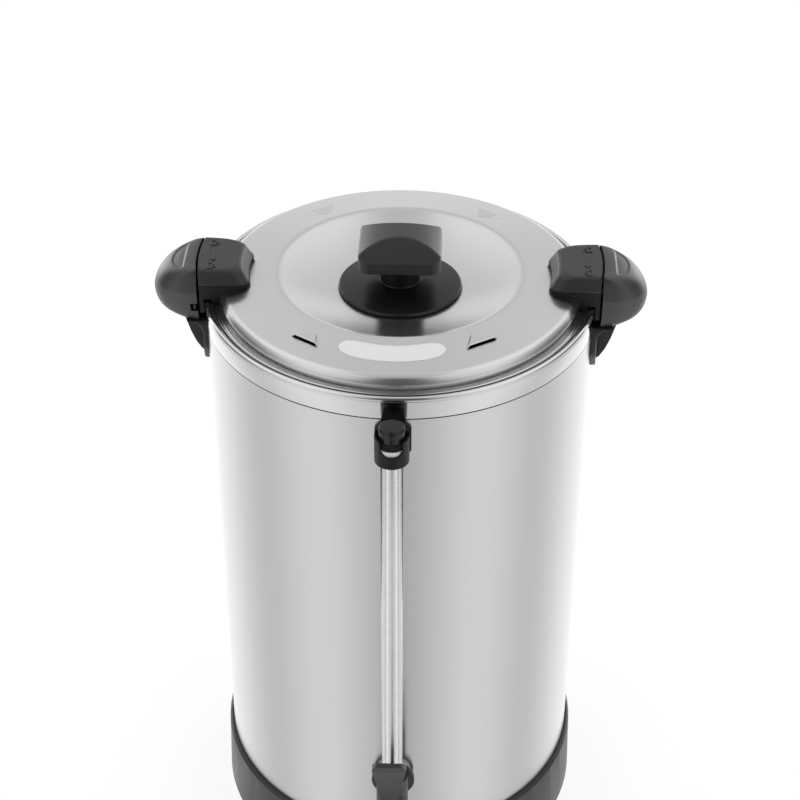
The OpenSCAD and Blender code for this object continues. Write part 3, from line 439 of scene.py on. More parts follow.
def vesselTank():
    # section from the middle of the floor up the inside, over the bead and down the collar, then back outside,
    # turned about the axis
    v = vessel
    t = v["sheet"]
    inner = softCorners([(0, v["floor"] + t), (v["tankR"] - t, v["floor"] + t), (v["tankR"] - t, v["ledge"]),
                         (v["channelR"] - t, v["ledge"]), (v["channelR"] - t, v["channelTop"])],
                        [0, v["corner"] - t, 0.9, 0.5, 0], closed=False)
    outer = softCorners([(v["rimR"] - t, v["channelFoot"]), (v["channelR"], v["channelFoot"]),
                         (v["channelR"], v["ledge"] - t), (v["tankR"], v["ledge"] - t), (v["tankR"], v["floor"]),
                         (0, v["floor"])], [0, 0.4, 0.6, 0.4, v["corner"], 0], closed=False)
    skin = np.vstack([inner, beadArc(200, -20, 15), outer])
    addPiece("tankSkin", [turned(skin)], "urn_body", "wallSteel", ["inner_tank"], sharp=40)


def collarBand():
    # the polished band's closed section, from the bead's crest down the collar and up behind it, turned about the axis
    v = vessel
    back = v["rimR"] - v["sheet"]
    crest = beadArc(120, 8, 10, v["bandProud"])
    band = softCorners([(back, v["bandTop"]), (v["rimR"], v["bandShoulder"]), (v["rimR"], v["collar"]),
                        (back, v["collar"]), (back, v["bandTop"])], [0, 0.4, 0.35, 0.2, 0], 4, closed=False)
    band = np.vstack([crest, band[1:], crest[:1]])
    addPiece("collarBand", [turned(band)], "urn_body", "collarSteel", ["inner_tank"], sharp=40)
    # a ring of black rubber in the joint between the collar and the shell: painted shade, standing in for the shadowed
    # gap under the collar's edge
    addPiece("collarShadeRing", [turned(v["shadeRing"])], "urn_body", "blackRubber", sharp=60)


def vesselShell():
    # a sheet's closed section turned about the axis: a foot turned in, a straight wall, and back down inside it
    v = vessel
    r, t, low, top, foot = v["shellR"], v["sheet"], v["shellLow"], v["shellTop"], v["shellIn"]
    profile = [(foot, low), (r - t, low), (r, low + t), (r, -300), (r, -200), (r, -100), (r, top), (r - t, top),
               (r - t, -200), (r - t, low + t), (foot, low + t), (foot, low)]
    addPiece("shellSkin", [turned(profile)], "urn_body", "wallSteel", ["outer_shell"], sharp=30)


vesselTank()
collarBand()
vesselShell()
print("vessel made")

# Lid: dish, crease, sloping brim with four lanced louvres, rounded shoulder, wall and flange.
# A louvre is its heading, its mouth's radius, its width and its height.
lid = {
    "creaseR": 81.3, "creaseH": 13.4, "creaseSoft": 1.1, "dishK": 0.0026, "slope": 0.15,
    "shoulderX": 114.3, "shoulderR": 6.6, "wallR": 121.5, "flangeR": 124.6, "flange": -3.8, "lipTop": -1.6,
    "sheet": 0.8,
    "louvres": [(-124.2, 101.7, 21.0, 2.3), (-57.2, 99.6, 23.0, 2.3), (54.4, 101.0, 22.0, 0.8),
                (125.4, 101.0, 22.0, 0.8)],
    "louvreD": 13.0, "louvreEdge": 1.5, "mouthR": 101.5, "mouthTurn": 12.5, "mouthFade": 5.0,
    "rows": [0, 6, 12, 18, 24, 30, 36, 42, 48, 54, 60, 65, 70, 74, 77, 79, 80.2, 80.9, 81.3, 81.7, 82.4, 83.5, 85.5],
    "brimRows": [101.5, 102.3, 103.4, 105, 107, 109.5, 112, 114]
}
lid["dish"] = lid["creaseH"] - lid["dishK"] * lid["creaseR"] ** 2
lid["slopeAngle"] = math.atan(lid["slope"])
lid["shoulderTop"] = lid["shoulderX"] + lid["shoulderR"] * math.sin(lid["slopeAngle"])
lid["shoulderZ"] = (lid["creaseH"] - lid["slope"] * (lid["shoulderTop"] - lid["creaseR"])
                    - lid["shoulderR"] * math.cos(lid["slopeAngle"]))


def lidHeight(r):
    # dish, then slope, then shoulder arc; the crease between the first two is a small smooth minimum
    r = np.asarray(r, float)
    top = softMinimum(lid["dish"] + lid["dishK"] * r ** 2, lid["creaseH"] - lid["slope"] * (r - lid["creaseR"]),
                      lid["creaseSoft"])
    over = np.clip((r - lid["shoulderX"]) / lid["shoulderR"], -1, 1)
    arc = lid["shoulderZ"] + lid["shoulderR"] * np.sqrt(1 - over ** 2)
    return np.where(r > lid["shoulderTop"], arc, top)


def lidAngles():
    # columns all round, closer together near the louvres
    near = np.concatenate([np.arange(louvre[0] - 9, louvre[0] + 9.01, 0.3) for louvre in lid["louvres"]])
    even = np.arange(-180, 180, 1.25)
    even = even[np.min(np.abs(even[:, None] - near[None]), axis=1) > 0.6]
    angle = np.sort(np.r_[even, near])
    return np.r_[angle, angle[0] + 360]


def lidRows(rows, angle, lifted):
    # rows of radius r over columns of angle. Near a louvre the rows are pulled towards its mouth, which is a chord
    # at its own radius. Height: lidHeight plus a wedge that rises to the mouth between two steep cheeks
    share = np.asarray(rows, float)[:, None] + 0 * angle[None]
    theta = np.radians(angle)[None] + 0 * share
    turns = [(theta - math.radians(louvre[0]) + math.pi) % (2 * math.pi) - math.pi for louvre in lid["louvres"]]
    even = lid["mouthR"]
    mouth = np.full_like(share, even)
    for turn, (_, radius, width, height) in zip(turns, lid["louvres"]):
        near = smoothStep((math.radians(lid["mouthTurn"]) - np.abs(turn)) / math.radians(lid["mouthFade"]))
        mouth = mouth + (radius / np.cos(np.clip(turn, -0.3, 0.3)) - even) * near
    inner, outer = lid["creaseR"] + 3.2, lid["shoulderTop"] - 1.0
    pull = np.where(share < even, np.clip((share - inner) / (even - inner), 0, 1),
                    np.clip((outer - share) / (outer - even), 0, 1))
    out = share + (mouth - even) * pull
    lift = np.zeros_like(out)
    for turn, (_, radius, width, height) in zip(turns, lid["louvres"]):
        deep = radius - out * np.cos(turn)
        side = np.abs(out * np.sin(turn))
        rise = np.clip(1 - deep / lid["louvreD"], 0, 1)
        cheek = smoothStep((width / 2 * rise - side) / lid["louvreEdge"])
        inside = (deep > -0.01) & (deep < lid["louvreD"]) & (np.abs(turn) < 0.3)
        lift = np.where(inside & lifted, height * rise * cheek, lift)
    return polar(out, theta, lidHeight(out) + lift)


def lidSkin():
    # lidRows out to the louvres' mouths, and again unlifted from there, so each mouth stays open; then the
    # section of shoulder, wall, flange and lip turned about the axis
    angle = lidAngles()
    inner = np.r_[lid["rows"], np.arange(87.5, 101.3, 0.7), lid["mouthR"]]
    bend = np.radians(np.linspace(90 - math.degrees(lid["slopeAngle"]), 0, 14))[1:]
    shoulder = np.stack([lid["shoulderX"] + lid["shoulderR"] * np.cos(bend),
                         lid["shoulderZ"] + lid["shoulderR"] * np.sin(bend)], -1)
    foot, lip = lid["flange"] + lid["sheet"], lid["flangeR"] - lid["sheet"]
    wall = softCorners([(lid["wallR"], lid["shoulderZ"]), (lid["wallR"], foot), (lip, foot), (lip, lid["lipTop"])],
                       [0, 1.1, 0.7, 0], closed=False)[1:]
    shadedBelow = np.vstack([shoulder, wall])
    shadedBelow = polar(shadedBelow[:, :1], np.radians(angle), shadedBelow[:, 1:])
    low = np.concatenate([lidRows(lid["brimRows"] + [lid["shoulderTop"]], angle, False), shadedBelow], 0)
    addPiece("lidSkin", [lidRows(inner, angle, True), low], "lid", "lidSteel", ["lid_pan"], sharp=38,
             wall=lid["sheet"], weld=0.03)


label = {
    "middle": -91.2, "halfTurn": 20.4, "inner": 90.1, "outer": 104.7, "bend": 2.3, "swell": 0.9, "lift": 0.12,
    "thick": 0.1
}


def lidLabel():
    # a blank bean-shaped sticker: azimuth by one parameter, and between its two curved edges by the other
    s = np.sin(np.linspace(-math.pi / 2, math.pi / 2, 81))[None]
    t = np.linspace(-1, 1, 15)[:, None]
    middle = (label["inner"] + label["outer"]) / 2 - label["bend"] * np.abs(s) ** 1.6
    half = (label["outer"] - label["inner"]) / 2 + label["swell"] * s ** 2
    r = middle + half * np.sqrt(np.clip(1 - np.abs(s) ** 5.0, 0, 1)) * t
    top = polar(r, np.radians(label["middle"] + label["halfTurn"] * s), lidHeight(r) + label["lift"])
    addPiece("lidLabel", [top], "lid", "labelPaper", wall=label["thick"])


# a ring of rubber under the flange; its thin outer lip stands up the channel's wall, nearly to the bead
sealSection = [(121.9, -5.7), (125.2, -5.7), (125.72, -4.8), (125.74, -0.9), (125.5, -0.65), (125.2, -0.8),
               (125.1, -3.2), (124.9, -3.95), (121.9, -3.95), (121.9, -5.7)]

lidSkin()
lidLabel()
addPiece("lidSealRing", [turned(sealSection)], "lid_carrier", "blackRubber", ["lid_seal"], sharp=50)
print("lid made")

# Lid ears: plan of straight inner end, soft corners and an outer arc; the underside steps over the rim.
# By height: where the inner end is, half the width, and the hollow of the end. Steps: radius and height.
ear = {
    "inner": [(22.6, 105.0), (21.3, 103.0), (17.0, 100.2), (13.9, 97.9), (13.0, 97.3), (12.4, 97.2), (-9.7, 97.2)],
    "half": [(22.6, 21.8), (21.3, 22.4), (17.0, 23.6), (13.9, 24.65), (13.3, 24.75), (12.7, 24.6), (12.1, 23.5),
             (-9.7, 22.4)],
    "hollow": [(22.6, 0.8), (16.0, 2.0), (12.0, 3.0), (-9.7, 3.0)],
    "top": 22.6, "outer": 133.4, "firstArc": 118.0, "corner": 9.0, "edge": 2.2, "endEdge": 0.6, "seamEdge": 0.6,
    "rearTaper": 0.32, "taperReach": 36.4,
    "levels": [12.1, 12.4, 12.7, 13.0, 13.3, 13.6, 13.9, 14.8, 16.0, 17.2, 18.4, 19.5, 20.4],
    "steps": [(118, None), (119.5, None), (120.7, None), (121.3, None), (121.55, -1.65), (122.75, -2.9),
              (124.9, -2.9), (125.7, -2.6), (125.7, 1.0), (128.0, 1.0), (130.6, 1.0), (130.6, -9.7), (133.4, -9.7)]
}


def earPlan(row, step, s, z, rear, inset=0.0):
    # row: 0 to 1 from the inner end to the first arc, then an arc of radius step; s: -1 to 1 across;
    # the side that looks to the back (rear, 1 or -1) draws in towards the inner end
    corner, first = ear["corner"], ear["firstArc"]
    half = levelled(ear["half"], z) - inset
    v = half * s
    over = np.clip(np.abs(v) - (half - corner), 0, corner)
    start = levelled(ear["inner"], z) + inset * ear["endEdge"] + corner - np.sqrt(corner ** 2 - over ** 2) \
        + levelled(ear["hollow"], z) * np.clip(1 - (v / (half - 3)) ** 2, 0, 1)
    step = np.minimum(step, ear["outer"] - min(inset, ear["seamEdge"]))
    reach = np.where(row < 1, start + (first - start) * row, step)
    drawn = np.clip((ear["outer"] - reach) / ear["taperReach"], 0, 1) ** 2
    v = v - half * ear["rearTaper"] * drawn * s * np.clip(s * rear, 0, 1)
    inward = start + (np.sqrt(first ** 2 - v ** 2) - start) * row
    return np.where(row < 1, inward, np.sqrt(step ** 2 - v ** 2)), v


def earSolid(rear):
    # the underside lies on lidHeight and then steps over the rim; the side is its rim lifted through the levels and
    # round the top edge's quarter circle; the top is the same plan drawn in by that edge
    inward = np.r_[0, 0.04, 0.1, np.linspace(0.2, 1, 9)[:-1]]
    row = np.r_[inward, np.ones(len(ear["steps"]))][:, None]
    step = np.r_[np.full(len(inward), ear["firstArc"]), [p[0] for p in ear["steps"]]][:, None]
    fixed = np.array([np.nan] * len(inward) + [np.nan if p[1] is None else p[1] for p in ear["steps"]])[:, None]
    s = np.r_[np.linspace(-1, -0.55, 12), np.linspace(-0.55, 0.55, 15)[1:-1], np.linspace(0.55, 1, 12)][None]
    low = np.full((len(row), s.shape[1]), 8.0)
    for _ in range(4):  # the plan depends on the height and the height on the plan
        u, v = earPlan(row, step, s, low, rear)
        low = np.where(np.isnan(fixed), lidHeight(np.hypot(u, v)) + 0.05, fixed)
    under = np.stack([u, v, low], -1)
    last, wide = len(row) - 1, s.shape[1] - 1
    rim = [(0, j) for j in range(wide)] + [(i, wide) for i in range(last)] + [(last, j) for j in range(wide, 0, -1)] \
        + [(i, 0) for i in range(last, -1, -1)]
    ri, rj = np.array(rim).T
    foot, edge = low[ri, rj], ear["edge"]
    climb = [(k, ear["levels"][0], 0.0) for k in (0, 0.2, 0.4, 0.6, 0.8)] + [(1.0, z, 0.0) for z in ear["levels"]] \
        + [(1.0, ear["top"] - edge, a) for a in np.linspace(0, math.pi / 2, 8)[1:]]
    rows = []
    for k, level, a in climb:
        z = foot + (level - foot) * k + edge * math.sin(a)
        u, v = earPlan(row[ri, 0], step[ri, 0], s[0, rj], z, rear, edge * (1 - math.cos(a)))
        rows.append(np.stack([u, v, z], -1))
    roof = 0 * low + ear["top"]
    return under, np.array(rows), np.stack([*earPlan(row, step, s, roof, rear, edge), roof], -1)


def turnedHalf(grid):  # half a turn about the urn's axis
    return grid * np.array([-1.0, -1.0, 1.0])


marks = {
    "low": 22.5, "high": 23.1, "line": 0.75, "arrow": [(123.8, 6.7), (123.6, 0.0), (123.0, -8.8)], "head": 2.6,
    "locks": [(123.7, 13.1, 5.6, 5.6), (123.0, -16.2, 6.4, 5.2)]
}


def padlock(u, v, wide, tall):
    # body outline and a shackle: both seen from outside the urn, with the shackle towards -u
    near, far = u - tall * 0.05, u + tall * 0.5
    body = softCorners([(near, v - wide / 2), (far, v - wide / 2), (far, v + wide / 2), (near, v + wide / 2)], 0.5, 3)
    t = np.radians(np.linspace(0, 180, 15))
    return [np.vstack([body, body[:2]]), np.stack([near - np.sin(t) * tall * 0.42, v + np.cos(t) * wide * 0.3], -1)]


def earMarks():
    # two padlocks and an arrow, moulded a hair proud of the ear's top
    lines = [line for lock in marks["locks"] for line in padlock(*lock)]
    shaft = spaced(marks["arrow"], 13, closed=False)
    tip = shaft[-1] + np.array([0.0, -0.5])
    barbs = [np.linspace(tip, tip + np.array([side * marks["head"] * 0.62, marks["head"]]), 6) for side in (-1, 1)]
    return [grid for line in lines + [shaft] + barbs
            for grid in raisedLine(line, marks["line"], marks["low"], marks["high"])]


addPiece("rightEarCap", earSolid(1), "lid", "earMoulding", ["right_ear"], sharp=34, weld=0.015)
addPiece("leftEarCap", [turnedHalf(g) for g in earSolid(-1)], "lid", "earMoulding", ["left_ear"], sharp=34, weld=0.015)
addPiece("rightEarMarks", earMarks(), "lid", "blackMoulding")
addPiece("leftEarMarks", [g * np.array([-1.0, 1.0, 1.0]) for g in earMarks()], "lid", "blackMoulding")
print("ears made")

# Handles: a nose whose middle section is carried across, a fastening plate with a hollow fillet, and a web.
# The inset is the thumb rest, the pocket the window for the lid's catch, and the lap the seam's rear end.
grip = {
    "seam": 134.3, "reach": 163.9, "root": 133.0, "power": 0.345,
    "section": [(134.3, 21.9), (134.9, 22.5), (139, 22.3), (145, 21.1), (151, 18.8), (155.5, 16.0), (159.2, 12.2),
                (161.8, 7.8), (163.3, 3.8), (163.9, 0.6), (163.8, -2.2), (163.2, -5.8), (161.8, -9.2),
                (159.2, -12.0), (154.6, -14.3), (149.8, -15.9), (141, -17.6), (134.3, -17.6)],
    "halves": [(-17.6, 19.8), (-16, 20.9), (-12, 22.0), (-4, 23.3), (4.4, 24.15), (5.6, 24.3), (6.8, 24.15),
               (12, 23.4), (18.2, 22.4), (21, 21.6), (22.6, 19.8)],
    "insetU": 142.0, "insetReach": 8.6, "insetV": 0.5, "insetHalf": 14.5, "insetDeep": 0.8, "insetSoft": 1.3,
    "insetLow": 8, "pocketU": 137.0, "pocketZ": (-8.4, -2.9), "pocketDeep": 9.0, "pocketSoft": 0.5,
    "lap": 0.62, "lapFrom": 0.955, "lapSoft": 0.05, "lapReach": 3,
    "catch": [(134.4, -7.7), (135.9, -7.7), (135.9, -3.7), (134.4, -3.7)], "catchV": (13.0, 21.9)
}


def gripSolid(rear):
    # over s, -1 to 1 across, and the section: v is the half width at that height times s, and the section's reach
    # past the seam shrinks as (1 - s squared) to a power, so the nose closes round at both sides
    g = grip
    section = smoothCurve(g["section"], 150)
    ends = np.sqrt(1 - np.linspace(0, 1, 46) ** (1 / g["power"]))
    across = np.unique(np.round(np.r_[ends[ends > 0.6], np.linspace(0, 0.6, 26)], 6))
    s = np.r_[-across[::-1], across[1:]][None]
    v = levelled(g["halves"], section[:, 1:]) * s
    seam = np.sqrt(g["seam"] ** 2 - v ** 2)
    nose = g["root"] + (g["reach"] - g["root"]) * (1 - s ** 2) ** g["power"]
    u = seam + (section[:, :1] - g["seam"]) * np.clip((nose - seam) / (g["reach"] - g["seam"]), 0, 1)
    # at its end towards the back the seam is drawn in until it nearly touches the ear
    u = u - g["lap"] * steep(rear * s - g["lapFrom"], g["lapSoft"]) * np.clip(1 - (u - seam) / g["lapReach"], 0, 1)
    z = section[:, 1:] + 0 * s
    # the thumb rest: half an ellipse sunk in the top
    rest = np.sqrt(((v - g["insetV"]) / g["insetHalf"]) ** 2 + ((u - g["insetU"]) / g["insetReach"]) ** 2)
    dip = steep((1 - rest) * g["insetReach"], g["insetSoft"]) * steep(u - g["insetU"], g["insetSoft"])
    z = z - g["insetDeep"] * dip * (z > g["insetLow"])
    # the window for the lid's catch, in the side that faces +v
    low, high = g["pocketZ"]
    soft = g["pocketSoft"]
    hole = steep(g["pocketU"] - u, soft) * steep(z - low, soft) * steep(high - z, soft) * (s > 0.6)
    skin = np.stack([u, v - hole * g["pocketDeep"], z], -1)
    # the face at the seam, and side walls that close the first and last columns to it
    k = np.linspace(0, 1, 9)
    face = skin[0] * (1 - k[:, None, None]) + skin[-1] * k[:, None, None]
    sides = []
    for j in (0, -1):
        out = [np.interp(k, np.linspace(0, 1, len(skin)), skin[:, j, axis]) for axis in range(3)]
        sides.append(np.stack([face[:, j], np.stack(out, -1)], 1))
    return [skin, face, *sides]


plate = {
    "r": 132.6, "shell": 129.2, "low": -56.0, "edge": 1.1, "fillet": 10.0, "under": -16.6,
    "outline": [(-16.6, 21.6), (-20, 22.6), (-30, 23.0), (-36, 22.6), (-40, 20.6), (-44, 17.8), (-48, 14.6),
                (-52, 11.4), (-54.4, 8.8), (-55.6, 5.8), (-56, 0.01)],
    "web": [(131.0, -12), (151, -12), (147.4, -20), (144.6, -29), (142, -38), (138.8, -46), (135.2, -52),
            (131, -55)],
    "webCorners": [0, 2, 5, 8, 8, 6, 1, 0], "webThick": 4.4, "webEdge": 0.9
}


def plateSolid():
    # over the shell's cylinder: the face's height falls off round its edge as a quarter circle and climbs in a
    # hollow quarter circle under the grip; the back lies on the shell, and thin walls join the two
    p = plate
    outline = smoothCurve(p["outline"], 70)
    z, half = outline[:, :1], outline[:, 1:]
    s = np.sin(np.linspace(-math.pi / 2, math.pi / 2, 61))[None]
    a, z = s * half / p["shell"], z + 0 * s
    edge = np.minimum(half * (1 - np.abs(s)), (z - p["low"]) * 0.9)
    rounded = np.sqrt(np.clip(1 - (1 - np.clip(edge / p["edge"], 0, 1)) ** 2, 0, 1))
    climb = np.clip((z - (p["under"] - p["fillet"])) / p["fillet"], 0, 1)
    r = p["shell"] + (p["r"] - p["shell"]) * rounded + p["fillet"] * (1 - np.sqrt(1 - climb ** 2))
    face, back = polar(r, a, z), polar(p["shell"], a, z)
    sides = [np.stack([back[:, j], face[:, j]], 1) for j in (0, -1)]
    return [face, back, np.stack([back[0], face[0]], 0), *sides]


def webSolid():
    # a slab whose outline stands in the plane of the radius and the height
    outline = spaced(softCorners(plate["web"], plate["webCorners"], 5), 90)
    return slab(outline, -plate["webThick"] / 2, plate["webThick"] / 2, plate["webEdge"], rings=4)[..., [0, 2, 1]]


def catchSolid():
    # the catch: a small upright slab that stands in the window beside the seam
    outline = spaced(softCorners(grip["catch"], 0.3, 3), 32)
    return slab(outline, *grip["catchV"], 0.25, rings=2, steps=2)[..., [0, 2, 1]]


plateGrids, webGrids, catchGrids = plateSolid(), [webSolid()], [catchSolid()]
for side, rear in (("right", 1), ("left", -1)):
    node = side + "_handle"
    for part, grids, finish, stands, sharp, weld in (("Catch", catchGrids, "blackMoulding", (), 40, 0.01),
                                                     ("Grip", gripSolid(rear), "gripMoulding", [node], 40, 0.02),
                                                     ("Plate", plateGrids, "darkMoulding", [node], 40, 0.02),
                                                     ("Web", webGrids, "darkMoulding", [node], 35, 0.01)):
        grids = [g if side == "right" else turnedHalf(g) for g in grids]
        addPiece(side + part, grids, "urn_body", finish, stands, sharp, weld)
print("handles made")

# Knob: a block with soft corners whose top is the lower of a cylinder and two sloping faces, on a stem and a flange
knob = {
    "wide": 54.0, "deep": 48.6, "corner": 8.0, "low": 23.0, "top": 43.2, "flat": 18.8, "crownR": 45.0,
    "pitch": 41.4, "edge": 1.1, "lowEdge": 0.8, "blend": 0.9,
    "stem": [(0, 6.4), (14.6, 6.4), (13.8, 7.2), (13.8, 23.4), (0, 23.4)], "stemCorners": [0, 0.3, 0.5, 0, 0],
    "flange": [(14, -0.6), (37.7, 0.9), (38.7, 0.8), (40.7, 1.0), (40.7, 2.2), (39.9, 2.9), (15.2, 6.2), (0, 6.3)],
    "flangeCorners": [0, 0.4, 0.6, 0.3, 0.3, 0.5, 0.7, 0.6, 0.3, 0], "flangeIn": 12, "gap": 0.1
}


def knobTop(x, y):
    # a cylinder's crown along y, cut by a plane that slopes down from a flat strip on either side
    crown = knob["top"] - knob["crownR"] + np.sqrt(knob["crownR"] ** 2 - x ** 2)
    slope = knob["top"] - (np.abs(y) - knob["flat"] / 2) * math.tan(math.radians(knob["pitch"]))
    return softMinimum(crown, slope, knob["blend"])


def knobSolid():
    # rings of one soft-cornered outline: out along the underside, round the lower edge, up the wall, round the
    # upper edge, and in over the top, where the height is knobTop at every point
    low, lowEdge, edge = knob["low"], knob["lowEdge"], knob["edge"]
    a, b = knob["wide"] / 2, knob["deep"] / 2
    outline = spaced(softCorners([(-a, -b), (a, -b), (a, b), (-a, b)], knob["corner"], 12), 320)
    normal = outwards(outline)
    inner = outline - normal * edge
    wall = knobTop(*inner.T) - edge
    quarter = np.linspace(0, math.pi / 2, 7)
    rings = [((outline - normal * lowEdge) * (1 - q), low) for q in np.linspace(1, 0, 9)[:-1]]
    rings += [(outline - normal * lowEdge * (1 - math.sin(t)), low + lowEdge * (1 - math.cos(t))) for t in quarter]
    rings += [(outline, low + lowEdge + (wall - low - lowEdge) * q) for q in np.linspace(0, 1, 8)[1:-1]]
    for t in quarter:
        flat = outline - normal * edge * (1 - math.cos(t))
        rings.append((flat, knobTop(*flat.T) - edge + edge * math.sin(t)))
    rings += [(inner * (1 - q), knobTop(*(inner * (1 - q)).T)) for q in np.linspace(0, 1, 46)[1:]]
    return np.array([np.column_stack([flat, z + 0 * flat[:, 0]]) for flat, z in rings])


def knobTurned(name, points, corners, steps, segments, node):
    # a section with soft corners turned about the axis
    addPiece(name, [turned(softCorners(points, corners, steps), segments)], "lid", "glossMoulding", [node], sharp=35)


seat = lid["dish"] + knob["gap"]  # the flange's foot stands a hair over the dish
foot = [(0, seat), (knob["flangeIn"], seat + lid["dishK"] * knob["flangeIn"] ** 2)]
addPiece("knobBlock", [knobSolid()], "lid", "knobMoulding", ["knob_grip"], sharp=30)
knobTurned("knobStem", knob["stem"], knob["stemCorners"], 4, 144, "knob_grip")
knobTurned("knobFlange", foot + knob["flange"], knob["flangeCorners"], 5, 240, "knob_flange")
print("knob made")

# Level gauge: the glass with its cap and knurled nut, and the lip in the foot of the cup's window
tube = {"y": -150.0, "r": 7.0, "bore": 2.7, "low": -320.9, "high": -11.0, "edge": 0.5}
gauge = {
    "capR": 8.3, "capLow": -14.3, "capTop": -5.8, "capEdge": 2.2, "chamfer": 0.2, "recess": 7.25, "roof": -9.5,
    "slot": 0.85, "slotDeep": 1.3, "slotLow": -13.4, "slotIn": 6.0,
    "nutR": 8.95, "nutLow": -19.5, "nutTop": -14.45, "tooth": 0.45, "teeth": 48,
    "lipIn": 9.6, "lipOut": 10.76, "lipLow": -24.0, "lipSeat": -22.5, "lipTurn": 40.0, "lipRise": 9.5,
    "lipFull": 53.0
}


def roundGauge(r, turn, z):  # radius, turn and height about the gauge's own axis
    return polar(r, turn, z) + (0, tube["y"], 0)


def gaugeTube():
    # thick-walled glass: a section of wall carried round the tube's own axis, with fire-polished ends
    t = tube
    section = softCorners([(t["bore"], t["low"]), (t["r"], t["low"]), (t["r"], t["high"]), (t["bore"], t["high"])],
                          t["edge"], 4)
    rings = turned(np.vstack([section, section[:1]])) + (0, t["y"], 0)
    addPiece("gaugeGlass", [rings], "urn_body", "tubeGlass", ["gauge_tube"], sharp=40)


def gaugeCap():
    # a section turned about the gauge's axis, with its radius cut back in front over the slot's width
    g = gauge
    r, low, top, slotLow, chamfer = g["capR"], g["capLow"], g["capTop"], g["slotLow"], g["chamfer"]
    plain = [(0, g["roof"]), (g["recess"], g["roof"]), (g["recess"], low), (r - chamfer, low), (r, low + chamfer),
             (r, slotLow)]
    climb = np.linspace(slotLow, top - g["capEdge"], 6)[1:-1]
    over = softCorners([(r, slotLow), (r, top), (0, top)], [0, g["capEdge"], 0], 8, closed=False)[1:]
    section = np.vstack([plain, [(r, slotLow + 0.05)], np.stack([0 * climb + r, climb], -1), over])
    half = g["slot"] / 2 / r
    turn = np.r_[np.linspace(-math.pi, -half, 60), -half + 0.004, half - 0.004, np.linspace(half, math.pi, 60)]
    cut = (np.abs(turn) < half - 0.002)[None] * (np.arange(len(section)) >= len(plain))[:, None]
    cut = cut * (section[:, 1:] > slotLow) * np.clip((section[:, :1] - g["slotIn"]) / 0.5, 0, 1)
    grid = roundGauge(section[:, :1] - g["slotDeep"] * cut, turn - math.pi / 2, section[:, 1:])
    addPiece("gaugeCapTurned", [grid], "cap", "glossMoulding", ["gauge_cap"], sharp=38)


def gaugeNut():
    # a ring whose outer radius rises and falls as a cosine of the turn, once for each tooth
    g = gauge
    inner, outer, low, top = g["recess"], g["nutR"], g["nutLow"], g["nutTop"]
    turn = np.linspace(0, 2 * math.pi, g["teeth"] * 8 + 1)
    knurl = (0.5 + 0.5 * np.cos(g["teeth"] * turn)) ** 0.7 * g["tooth"]
    section = np.array([(inner, low), (outer - 0.3, low), (outer, low + 0.3), (outer, top - 0.5), (outer - 0.5, top),
                        (inner, top), (inner, low)])
    grid = roundGauge(section[:, :1] - knurl * (section[:, :1] > inner + 0.1), turn, section[:, 1:])
    addPiece("gaugeNutKnurled", [grid], "nut", "satinMoulding", ["gauge_nut"], sharp=34)


def cupLip():
    # fills the foot of the cup's window: its edge climbs with the fourth power of the turn from the front
    g = gauge
    inner, outer, low = g["lipIn"], g["lipOut"], g["lipLow"]
    turn = np.radians(np.linspace(-g["lipTurn"], g["lipTurn"], 61))
    top = g["lipSeat"] + g["lipRise"] * (np.abs(np.degrees(turn)) / g["lipFull"]) ** 4
    corners = np.array([(inner, 0), (outer, 0), (outer, 0.93), (outer - 0.25, 1), (inner, 1), (inner, 0)])
    wall = roundGauge(corners[:, :1], turn - math.pi / 2, low + (top - low) * corners[:, 1:])
    ends = [np.array([[a, b], [a * 0.5 + e * 0.5, c], [e, d]]) for a, b, c, d, e, _ in (wall[:, 0], wall[:, -1])]
    addPiece("gaugeCupLip", [wall] + ends, "urn_body", "satinMoulding", sharp=34)


gaugeTube()
gaugeCap()
gaugeNut()
cupLip()
print("gauge made")

# Small parts that keep their own solids, with broken edges: body, finish and the edge's width
edged = {
    "base_ring": ("urn_body", "blackMoulding", 0.6), "control_panel": ("urn_body", "blackMoulding", 0.5),
    "power_inlet": ("urn_body", "darkMoulding", 0.4), "faucet_body": ("urn_body", "blackMoulding", 0.5),
    "faucet_bonnet": ("urn_body", "blackMoulding", 0.35), "faucet_lever": ("lever", "blackMoulding", 0.5),
    "gauge_bracket": ("urn_body", "satinMoulding", 0.4), "faucet_nut": ("urn_body", "blackMoulding", 0.4),
    "bottom_plate": ("urn_body", "zincPlate", 0.2), "switch_housing": ("urn_body", "darkMoulding", 0.2),
    "rocker_switch": ("rocker", "redMoulding", 0.3), "power_lamp": ("urn_body", "redLens", 0.3),
    "ready_lamp": ("urn_body", "amberLens", 0.3)
}
edgeAngle = 32.0


def bevelledCopy(node, body, finish, width):
    # the node's own solid with its loose triangles joined, flat faces merged and its edges broken
    piece = newObject(node + "Edged", nodes[node].data.copy(), finish, edgeAngle, merge=1.0)
    edge = piece.modifiers.new("edge", "BEVEL")
    edge.width = width / 1000
    edge.segments = 2
    edge.limit_method = "ANGLE"
    edge.angle_limit = math.radians(edgeAngle)
    edge.harden_normals = True
    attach(piece, body)
    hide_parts(node)


def closingSpring():
    # the tap's own coil between the stem at its foot and the bonnet at its head, copied with its transform applied
    piece = newObject("closingSpring", nodes["faucet_spring"].data.copy(), "zincPlate", 70)
    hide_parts("faucet_spring")
    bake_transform(piece)


for node, settings in edged.items():
    bevelledCopy(node, *settings)
closingSpring()
print("small parts edged")

# Camera where the photographer stood, a white sweep and a bright studio round the urn
view = {"place": (0.0349, -1.0169, 1.1009), "pitch": 54.584, "roll": 0.110, "turn": 1.9, "lens": 83.71, "film": 36.0}
studio = {"floorHalf": 6, "floorShade": 0.86, "floorGlow": 0.62, "floorStrength": 1.24, "zenith": 0.6}

